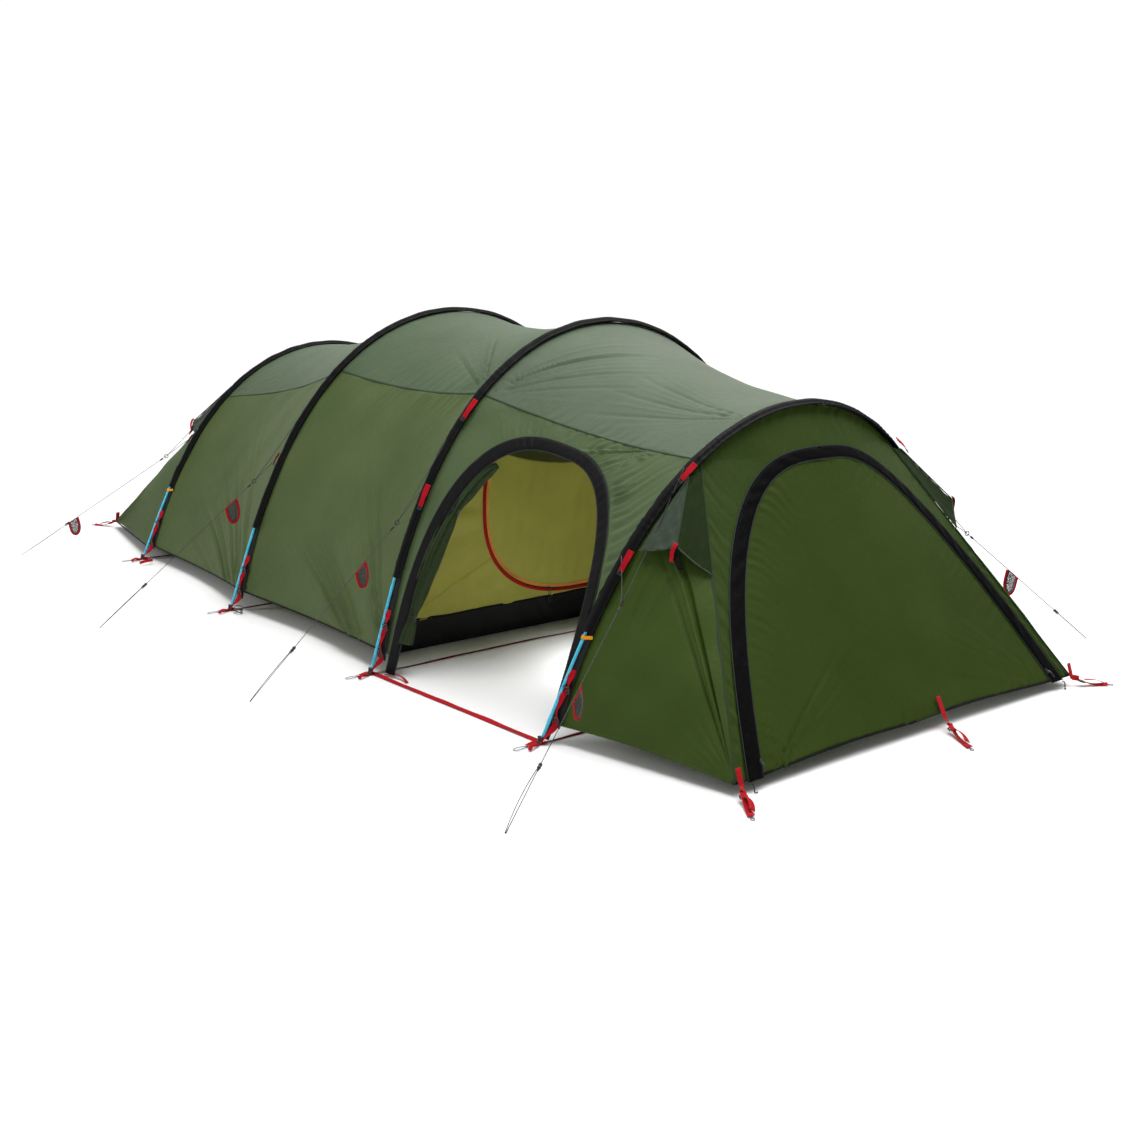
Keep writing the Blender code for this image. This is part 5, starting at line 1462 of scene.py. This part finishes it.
us = np.linspace(seam, 1 - seam, 90)
points = cabin_at(us[:, None] + 0 * xs, xs[None, :] + 0 * us[:, None])
points = pushed_out(points, 0.006 * slack(xs[None, :], us[:, None] * 3, 0.35, 311))
ceiling = add_grid("inner_roof_cloth_painted_shade", points, inner_roof_cloth_painted_shade)
finish_cloth(ceiling, "tent", ["inner_roof"])


def cabin_end(x, count):
    """The cabin's cross-section at x, from one top corner of the floor tray over to the other."""
    us = np.linspace(2 / 22, 20 / 22, count)
    over = cabin_at(us, np.full(count, float(x)))
    return np.concatenate([[[x, -TUB_HALF_WIDTH, TUB_HEIGHT]], over, [[x, TUB_HALF_WIDTH, TUB_HEIGHT]]])


rim = cabin_end(TUB_REAR_X, 158)
s = np.linspace(0.0, 1, 60)[:, None, None]
base = np.stack([rim[:, 0], rim[:, 1], 0 * rim[:, 0] + TUB_HEIGHT], -1)
points = base + (rim - base) * s
points[..., 0] -= 0.012 * np.sin(math.pi * s[..., 0]) * np.abs(random_wave(points[..., 1] / 0.5, 315)) - 0.001
rear_inner = add_grid("inner_rear_cloth", points[:, 1:-1][:, ::-1], inner_cloth)
finish_cloth(rear_inner, "tent",
             ["inner_rear_wall"])

INNER_HALF_WIDTH, INNER_HALF_HEIGHT, INNER_DOOR_Z = 0.472, 0.377, 0.520
INNER_POWER = 2.5
wall_x = TUB_FRONT_X - 0.001


def inner_door_reach(turn, margin=0.0):
    """How far the cabin door reaches from its middle in each direction: a superellipse of power 2.5."""
    wide, high = INNER_HALF_WIDTH + margin, INNER_HALF_HEIGHT + margin
    total = np.abs(np.cos(turn) / wide) ** INNER_POWER + np.abs(np.sin(turn) / high) ** INNER_POWER
    return total ** (-1 / INNER_POWER)


def front_wall_bulge(y, z):
    """How far the cabin's front wall bulges forwards: slack folds drawn from its corners to the door."""
    r = np.hypot(y / INNER_HALF_WIDTH, (z - INNER_DOOR_Z) / INNER_HALF_HEIGHT)
    around = np.arctan2(z - INNER_DOOR_Z, y)
    out = np.clip(r - 1, 0, 1)
    rays = 0.008 * random_wave(around * 3.2, 321) * np.clip(out / 0.25, 0, 1)
    rays = rays + 0.003 * random_wave(y * 9 + z * 6, 325) * random_wave(z * 5 - y * 3,
                                                                        327) * np.clip(out / 0.1, 0, 1)
    return rays + 0.008 * slack(y, z, 0.33, 323) * np.clip(out / 0.15, 0, 1)


outline = cabin_end(wall_x, 170)
floor_y = np.linspace(TUB_HALF_WIDTH, -TUB_HALF_WIDTH, 82)[1:-1]
loop_y = np.concatenate([outline[:, 1], floor_y])
loop_z = np.concatenate([outline[:, 2], 0 * floor_y + TUB_HEIGHT])
turn = np.arctan2(loop_z - INNER_DOOR_Z, loop_y)
reach = inner_door_reach(turn, 0.001)
s = np.linspace(0, 1, 54)[:, None]
y = loop_y + (reach * np.cos(turn) - loop_y) * s
z = loop_z + (INNER_DOOR_Z + reach * np.sin(turn) - loop_z) * s
x = wall_x + front_wall_bulge(y, z) * np.clip(s / 0.05, 0, 1) * np.clip((1 - s) / 0.06, 0, 1)
points = np.stack([x, y, z], -1)
points = np.concatenate([points, points[:, :1]], axis=1)[:, ::-1]
front_inner = add_grid("inner_front_cloth", points, front_wall_cloth)
finish_cloth(front_inner, "tent", ["inner_front_wall"])

turn = np.linspace(0, 2 * math.pi, 145)
s = np.linspace(0.0004, 1, 52)[:, None]
reach = inner_door_reach(turn, -0.001)
y, z = reach * np.cos(turn) * s, INNER_DOOR_Z + reach * np.sin(turn) * s
droop = 0.007 * slack(y, z, 0.25, 331) + 0.005 * random_wave(y * 8 - z * 6, 333) * random_wave(y * 3 + z * 5,
                                                                                               335)
x = wall_x + droop * np.clip((1 - s) / 0.15, 0, 1)
points = np.stack([x, y, z], -1)[:, ::-1]
leaf = add_grid("inner_door_cloth", points[::-1][:, ::-1], front_wall_cloth)
solid = leaf.modifiers.new("thickness", "SOLIDIFY")
solid.thickness, solid.offset = 0.0006, 0
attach(leaf, "inner_door")
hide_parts("inner_door")
zip_red = webbing_material("zip_red", (0.62, 0.020, 0.014), (0.34, 0.008, 0.008), ribs=900.0)
zip_orange = webbing_material("zip_orange", (0.95, 0.42, 0.10), (0.72, 0.27, 0.05), ribs=900.0)
for label, margin, width, cloth, body, lift in (
    ("outer", 0.0085, 0.013, zip_red, "tent", 0.0030),
    ("coil", 0.0012, 0.0022, binding_cloth, "tent", 0.0032),
    ("inner", -0.0080, 0.0135, zip_orange, "inner_door", 0.0030),
):
    zip_turn = np.linspace(0.42, 2 * math.pi - 0.42, 170)[::-1]
    reach = inner_door_reach(zip_turn, margin)
    loop = np.stack([0 * reach + wall_x + lift, reach * np.cos(zip_turn),
                     INNER_DOOR_Z + reach * np.sin(zip_turn)], -1)
    tape = add_ribbon(f"inner_zip_{label}", loop, (1.0, 0.0, 0.0), width, 0.002, cloth)
    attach(tape, body)
for count, angle in enumerate((-1.98, -1.40)):
    reach = inner_door_reach(np.array(angle), 0.001)
    spot = np.array([wall_x + 0.006, float(reach * math.cos(angle)),
                     float(INNER_DOOR_Z + reach * math.sin(angle))])
    slider_path = spot + np.array([0.0, 1.0, 0.25 if count else -0.35]) * np.linspace(-0.009, 0.009,
                                                                                      7)[:, None]
    slider = add_ribbon(f"inner_slider_{count + 1}", slider_path, (1.0, 0, 0), 0.009, 0.004, black_plastic)
    a = np.linspace(0, 2 * math.pi, 29)
    hang = spot + np.stack([0.004 + 0 * a, 0.006 * np.sin(a), -0.030 * (1 - np.cos(a))], -1)
    pull = add_tube(f"inner_slider_cord_{count + 1}", hang, 0.0013, 8, black_cord, (1.0, 0.0, 0.0))
    for part in (slider, pull):
        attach(part, "tent")

# ==== the floor tray ====
# A black coated-nylon floor with upright sides, seam-taped to the cabin along its top edge.
xs = np.linspace(TUB_REAR_X, TUB_FRONT_X, 110)
ys = np.linspace(-TUB_HALF_WIDTH, TUB_HALF_WIDTH, 90)
X, Y = np.meshgrid(xs, ys)
pad = 0.0025 + 0.004 * (0.5 + 0.5 * slack(X, Y, 0.30, 341)) * np.clip((TUB_HALF_WIDTH - np.abs(Y)) / 0.05, 0,
                                                                      1)
points = np.stack([X, Y, pad], -1)
floor = add_grid("tub_floor", points, tub_cloth)
finish_cloth(floor, "tent", ["inner_floor_tub"])
tub_ends = (TUB_REAR_X, TUB_FRONT_X, TUB_FRONT_X, TUB_REAR_X, TUB_REAR_X)
corners = list(zip(tub_ends, TUB_HALF_WIDTH * np.array([-1, -1, 1, 1, -1])))
for count in range(4):
    first, second = np.array(corners[count]), np.array(corners[count + 1])
    steps = int(np.linalg.norm(second - first) / 0.012)
    t = np.linspace(0, 1, steps)[None, :, None]
    h = np.linspace(0.003, TUB_HEIGHT + 0.002, 26)[:, None]
    flat = first + (second - first) * t
    out = np.array([(second - first)[1], -(second - first)[0]])
    out = out / np.linalg.norm(out)
    metres = t[..., 0] * np.linalg.norm(second - first)
    rise = (h - 0.003) / TUB_HEIGHT
    wave = 0.0045 * random_wave(metres / 0.10 + 0.6 * rise,
                                345 + count) + 0.003 * random_wave(metres / 0.034 - rise, 349 + count)
    wave = wave * np.sin(math.pi * np.clip(rise, 0, 1)) - 0.006 * np.sin(math.pi * rise)
    flat = np.broadcast_to(flat, (26, steps, 2)) - out * (np.abs(wave) * 0.6)[..., None]
    ease = 0.004 * random_wave(metres / 0.35, 353 + count) * rise
    points = np.concatenate([flat, (h + ease)[..., None]], -1)
    wall = add_grid(f"tub_wall_{count + 1}", points, tub_cloth)
    finish_cloth(wall, "tent")
    top = points[-1] + [*(out * 0.001), 0.001]
    seam_tape, _ = along_line(top, 0.012)
    edge = add_ribbon(f"tub_seam_{count + 1}", seam_tape, (*out, 0.0), 0.008, 0.0026, binding_cloth)
    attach(edge, "tent")

# ==== the feet ====
# Each pole end stands in a black eyelet cup on red webbing.  The webbing climbs the fly's black edge tape
# through two ladder-locks, which tighten the fly down on its pole.
orange_tape = webbing_material("orange_tape", (0.95, 0.42, 0.02), (0.70, 0.26, 0.012))
dark_red_tape = webbing_material("dark_red_tape", (0.20, 0.010, 0.014), (0.10, 0.005, 0.008))
edge_cloth = webbing_material("edge_tape", (0.022, 0.022, 0.023), (0.010, 0.010, 0.010))


def add_foot(arch, side):
    """One foot: edge tape, webbing with its buckles, eyelet cup, outward tab and peg loop."""
    label = f"{arch + 1}_{SIDE_NAMES[side]}"
    foot_x, foot_y = ARCH_X[arch], -ARCH_HALF_WIDTH[arch]
    z = np.linspace(0.385, 0.052, 60)
    on_pole = arch_at(arch, np.array([arch_u(arch, h) for h in z]))
    fall = np.clip((0.36 - z) / 0.30, 0, 1)
    strip = on_pole + np.stack([0.005 + 0.010 * fall, 0.0065 + 0.016 * fall**2, 0 * z], -1)
    strip[:, 1] += 0.0015 * random_wave(z * 22, 401 + arch)
    outward = np.array([0.15, -1.0, 0.12])
    tape_width = (0.036 + 0.002 * arch) - 0.004 * fall + 0.001 * random_wave(z * 30, 411 + arch)
    parts = []

    def sew(name, path, facing, width, thickness=WEBBING_THICKNESS, material=red_webbing):
        """One tape of this foot, on its own side."""
        parts.append(sew_tape(f"{name}_{label}", path, facing, width, side, thickness, material))

    sew("edge_tape", strip, outward, tape_width, 0.003, edge_cloth)

    def strip_at(height, stand_off=0.0, shift=0.0):
        height, off, shift = np.broadcast_arrays(height, np.asarray(stand_off, float), shift)
        spot = np.stack([np.interp(height, z[::-1], strip[::-1, k]) for k in range(3)], -1)
        return spot + np.stack([shift + 0.15 * off, -off, 0 * off], -1)

    tab_z = np.linspace(0.232, 0.172, 14)
    tab = strip_at(tab_z, 0.0035 + 0.004 * np.sin(np.linspace(0, 3.1, 14)), 0.002)
    web_z = np.linspace(0.176, 0.072, 34)
    sway = 0.004 * np.sin(np.linspace(0.4, 7.4, 34)) - 0.004
    web = strip_at(web_z, 0.006 + 0.006 * np.sin(np.linspace(0, 3.1, 34)), sway)
    low_z = np.linspace(0.076, 0.053, 8)
    end = np.array([foot_x + 0.004, foot_y - 0.004, 0.010])
    low = strip_at(low_z, 0.008, 0.004)
    low = np.concatenate([low, low[-1] + (end - low[-1]) * np.linspace(0.15, 1, 10)[:, None]])
    for name, path, width in (("tab", tab, 0.021), ("web", web, 0.0185), ("low", low, 0.020)):
        lean = np.array([[0.5, 0.0, 0.0]]) * np.sin(np.linspace(0, 6, len(path)))[:, None]
        sew(f"foot_{name}", path, outward + lean, width)
    down = np.array([0.0, 0.05, -1.0])
    for count, (height, size) in enumerate(((0.170, 1.15), (0.074, 1.05))):
        spot = strip_at(np.array(height), 0.0115, 0.002)
        spot, way, out = (mirrored(p, side) for p in (spot, down, outward))
        parts += add_buckle(f"foot_buckle_{count + 1}_{label}", spot, way, out, size)

    cup_spot = np.array([foot_x, foot_y, 0.0])
    t = np.linspace(0, 1, 14)
    cup_path = mirrored(cup_spot + np.array([0, 0.0, 0.003]) + t[:, None] * np.array([0.0, 0.002, 0.020]),
                        side)
    cup_radius = np.interp(t, [0, 0.15, 0.3, 0.8, 1], [0.012, 0.0135, 0.0098, 0.0090, 0.0075])
    parts.append(add_tube(f"foot_cup_{label}", cup_path, cup_radius, 20, black_plastic, (1.0, 0.0, 0.0)))
    parts.append(add_ring(f"foot_cup_rim_{label}", cup_path[-1], (0.0, 0.1, 1.0), 0.0086, 0.0016,
                          black_plastic))

    pad_y = np.linspace(0.024, -0.052, 26)
    pad_z = 0.0035 + 0.004 * np.clip(-pad_y / 0.05, 0, 1) ** 2
    pad = np.stack([foot_x + 0.004 * np.sin(pad_y * 60), foot_y + pad_y, pad_z], -1)
    facing = np.stack([0.35 * np.sin(pad_y * 70 + arch), 0 * pad_y, 1 + 0 * pad_y], -1)
    pad_width = np.interp(pad_y, [-0.052, -0.02, 0.024], [0.017, 0.026, 0.030])
    sew("foot_pad", pad, facing, pad_width, 0.0022)
    curl = quadratic((foot_x + 0.010, foot_y - 0.012, 0.004), (foot_x + 0.028, foot_y - 0.052, 0.026),
                     (foot_x + 0.034, foot_y - 0.066, 0.004), 16)
    sew("foot_tail", curl, (0.5, -0.2, 1.0), 0.012)

    a = np.linspace(-0.5, 0.5, 41)
    loop_y = foot_y - 0.046 - 0.056 * np.cos(math.pi * a)
    loop = np.stack([foot_x + 0.010 * np.sin(2 * math.pi * a), loop_y, 0 * a + 0.0028], -1)
    loop[:, 2] += 0.004 * np.cos(math.pi * a) * (1 - np.cos(math.pi * a))
    parts.append(add_tube(f"foot_peg_loop_{label}", mirrored(loop, side), 0.0011, 6, guy_cord))
    for part in parts:
        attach(part, "tent")

    if arch in (0, 3):
        band_z = 0.330
        u = arch_u(arch, band_z)
        spot = arch_at(arch, u)
        way = arch_at(arch, u + 0.006) - arch_at(arch, u - 0.006)
        band_path = mirrored(spot + way / np.linalg.norm(way) * np.linspace(-0.006, 0.006, 5)[:, None], side)
        band = add_tube(f"pole_band_{label}", band_path, 0.0085, 16, orange_tape, (1.0, 0.0, 0.0))
        wing_path = mirrored(spot + np.array([[0.002, -0.004, 0.0], [0.018, -0.002, 0.003],
                                              [0.036, 0.006, 0.005]]), side)
        wing, _ = along_line(wing_path, 0.004)
        wing_tape = add_ribbon(f"pole_band_tab_{label}", wing, mirrored(np.array([0.1, -1.0, 0.1]), side),
                               0.011, WEBBING_THICKNESS, orange_tape)
        for part in (band, wing_tape):
            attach(part, "tent")


for arch in range(4):
    for side in (NEAR, FAR):
        add_foot(arch, side)

# ==== ground straps ====
# A dark red strap crosses under the tent from foot to foot and keeps each arch's width.  The second arch's is
# cut short at the floor tray, and a wider red one holds the porch's feet apart on either side.
for arch in range(4):
    foot_x, foot_y = ARCH_X[arch], ARCH_HALF_WIDTH[arch]
    if arch == 1:
        runs = ((-foot_y + 0.020, -TUB_HALF_WIDTH - 0.004), (TUB_HALF_WIDTH + 0.004, foot_y - 0.020))
        names = ("foot_strap_2_near", "foot_strap_2_far")
    else:
        runs, names = ((-foot_y + 0.020, foot_y - 0.020),), (f"foot_strap_{arch + 1}",)
    for (y_start, y_end), name in zip(runs, names):
        y = np.linspace(y_start, y_end, 120)
        clear_of_ends = np.clip((y - y_start) * (y_end - y) / 0.02, 0, 1)
        z = 0.0016 + 0.0022 * (0.5 + 0.5 * random_wave(y * 2.5, 421 + arch)) * clear_of_ends
        path = np.stack([foot_x + 0.004 * random_wave(y * 0.8, 425 + arch), y, z], -1)
        facing = np.stack([0.35 * random_wave(y * 2, 429 + arch), 0 * y, 1 + 0 * y], -1)
        strap = add_ribbon(f"cross_{name}", path, facing, 0.011, WEBBING_THICKNESS, dark_red_tape)
        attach(strap, "tent")
        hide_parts(name)
for side in (NEAR, FAR):
    first = np.array([ARCH_X[2] + 0.012, -ARCH_HALF_WIDTH[2] + 0.012, 0.004])
    last = np.array([ARCH_X[3] - 0.010, -ARCH_HALF_WIDTH[3] + 0.010, 0.004])
    t = np.linspace(0, 1, 140)
    path = first + (last - first) * t[:, None]
    path[:, 1] += 0.0012 * random_wave(t * 2.0, 441 + side)
    path[:, 2] = 0.0022 + 0.001 * (0.5 + 0.5 * random_wave(t * 5, 443 + side))
    facing = np.stack([0 * t, 0.12 * random_wave(t * 3, 445 + side), 1 + 0 * t], -1)
    strap = add_ribbon(f"side_strap_{SIDE_NAMES[side]}", mirrored(path, side), facing, 0.023, 0.0020,
                       red_webbing)
    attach(strap, "tent")
    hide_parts(f"side_strap_{SIDE_NAMES[side]}")
    loose = quadratic((ARCH_X[2] + 0.05, -ARCH_HALF_WIDTH[2] + 0.030, 0.006),
                      (ARCH_X[2] + 0.10, -ARCH_HALF_WIDTH[2] + 0.07, 0.02),
                      (ARCH_X[2] + 0.17, -ARCH_HALF_WIDTH[2] + 0.050, 0.003), 20)
    tail = add_ribbon(f"side_strap_tail_{SIDE_NAMES[side]}", mirrored(loose, side), (0.1, 0.2, 1.0), 0.012,
                      WEBBING_THICKNESS, red_webbing)
    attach(tail, "tent")

# ==== tie tabs on the sleeves ====
# Where each leg of a guy line starts, a red webbing tab is sewn into the sleeve's edge with a small black
# adjuster threaded on it.
for arch in range(4):
    for side in (NEAR, FAR):
        for count, u in enumerate((GUY_UPPER_U[arch], GUY_TIE_U[arch])):
            if arch < 2 and count == 0:
                continue
            forward = 1.0 if arch > 1 else -1.0
            steps = np.linspace(-0.008, 0.0155, 22) if arch > 1 else np.linspace(-0.003, 0.009, 22)
            path = arch_at(arch, u - steps, -0.0085)
            path[:, 0] += (0.026 + 0.004 * np.linspace(0, 1, 22)) if arch > 1 else -0.012
            facing = arch_at(arch, u, -1.0) - arch_at(arch, u, 0.0) + [0.9 * forward, 0.0, 0.0]
            lift = 0.002 + 0.004 * np.sin(np.linspace(0, 2.4, 22)) ** 2
            path = path + lift[:, None] * facing / np.linalg.norm(facing)
            width = np.interp(np.arange(22), [0, 10, 13, 21], [0.020, 0.020, 0.0165, 0.0185])
            label = f"{arch + 1}_{count + 1}_{SIDE_NAMES[side]}"
            tab = sew_tape(f"tie_tab_{label}", path, facing, width, side, 0.0024)
            way = path[-1] - path[0]
            spot = path[-1] + 0.006 * way / np.linalg.norm(way)
            spot, way, facing = (mirrored(p, side) for p in (spot, way, facing))
            pieces = [tab] + add_buckle(f"tie_adjuster_{label}", spot, way, facing, 0.62)
            for part in pieces:
                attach(part, "tent")

# ==== loose ends on the ground ====
# At the first arch's near foot a black cord ends in a red tail.  At the second's a black cord is coiled up,
# and both are mirrored on the far side.
for side in (NEAR, FAR):
    label = SIDE_NAMES[side]
    start = np.array([ARCH_X[0] + 0.030, -ARCH_HALF_WIDTH[0] + 0.020, 0.008])
    out = quadratic(start, start + [0.050, -0.004, 0.030], start + [0.095, -0.020, 0.012], 18)
    cord = add_tube(f"loose_cord_{label}", mirrored(out, side), 0.0024, 8, black_cord)
    tail_path = quadratic(out[-1], out[-1] + [0.018, -0.030, 0.006], out[-1] + [-0.004, -0.062, -0.007], 18)
    tail = sew_tape(f"loose_tail_{label}", tail_path, (0.8, -0.3, 0.6), 0.014, side)
    a = np.linspace(0, 2 * math.pi * 3.6, 150)
    middle = np.array([ARCH_X[1] + 0.062, -ARCH_HALF_WIDTH[1] + 0.010, 0.0])
    spread = 0.010 + 0.0028 * a / (2 * math.pi)
    coil_path = middle + np.stack([1.5 * spread * np.cos(a), 0.8 * spread * np.sin(a),
                                   0.006 + 0.0045 * np.sin(0.7 * a) + 0.0008 * a], -1)
    coil = add_tube(f"coiled_cord_{label}", mirrored(coil_path, side), 0.0022, 8, black_cord)
    for part in (cord, tail, coil):
        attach(part, "tent")

# ==== sizes ====
low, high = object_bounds()
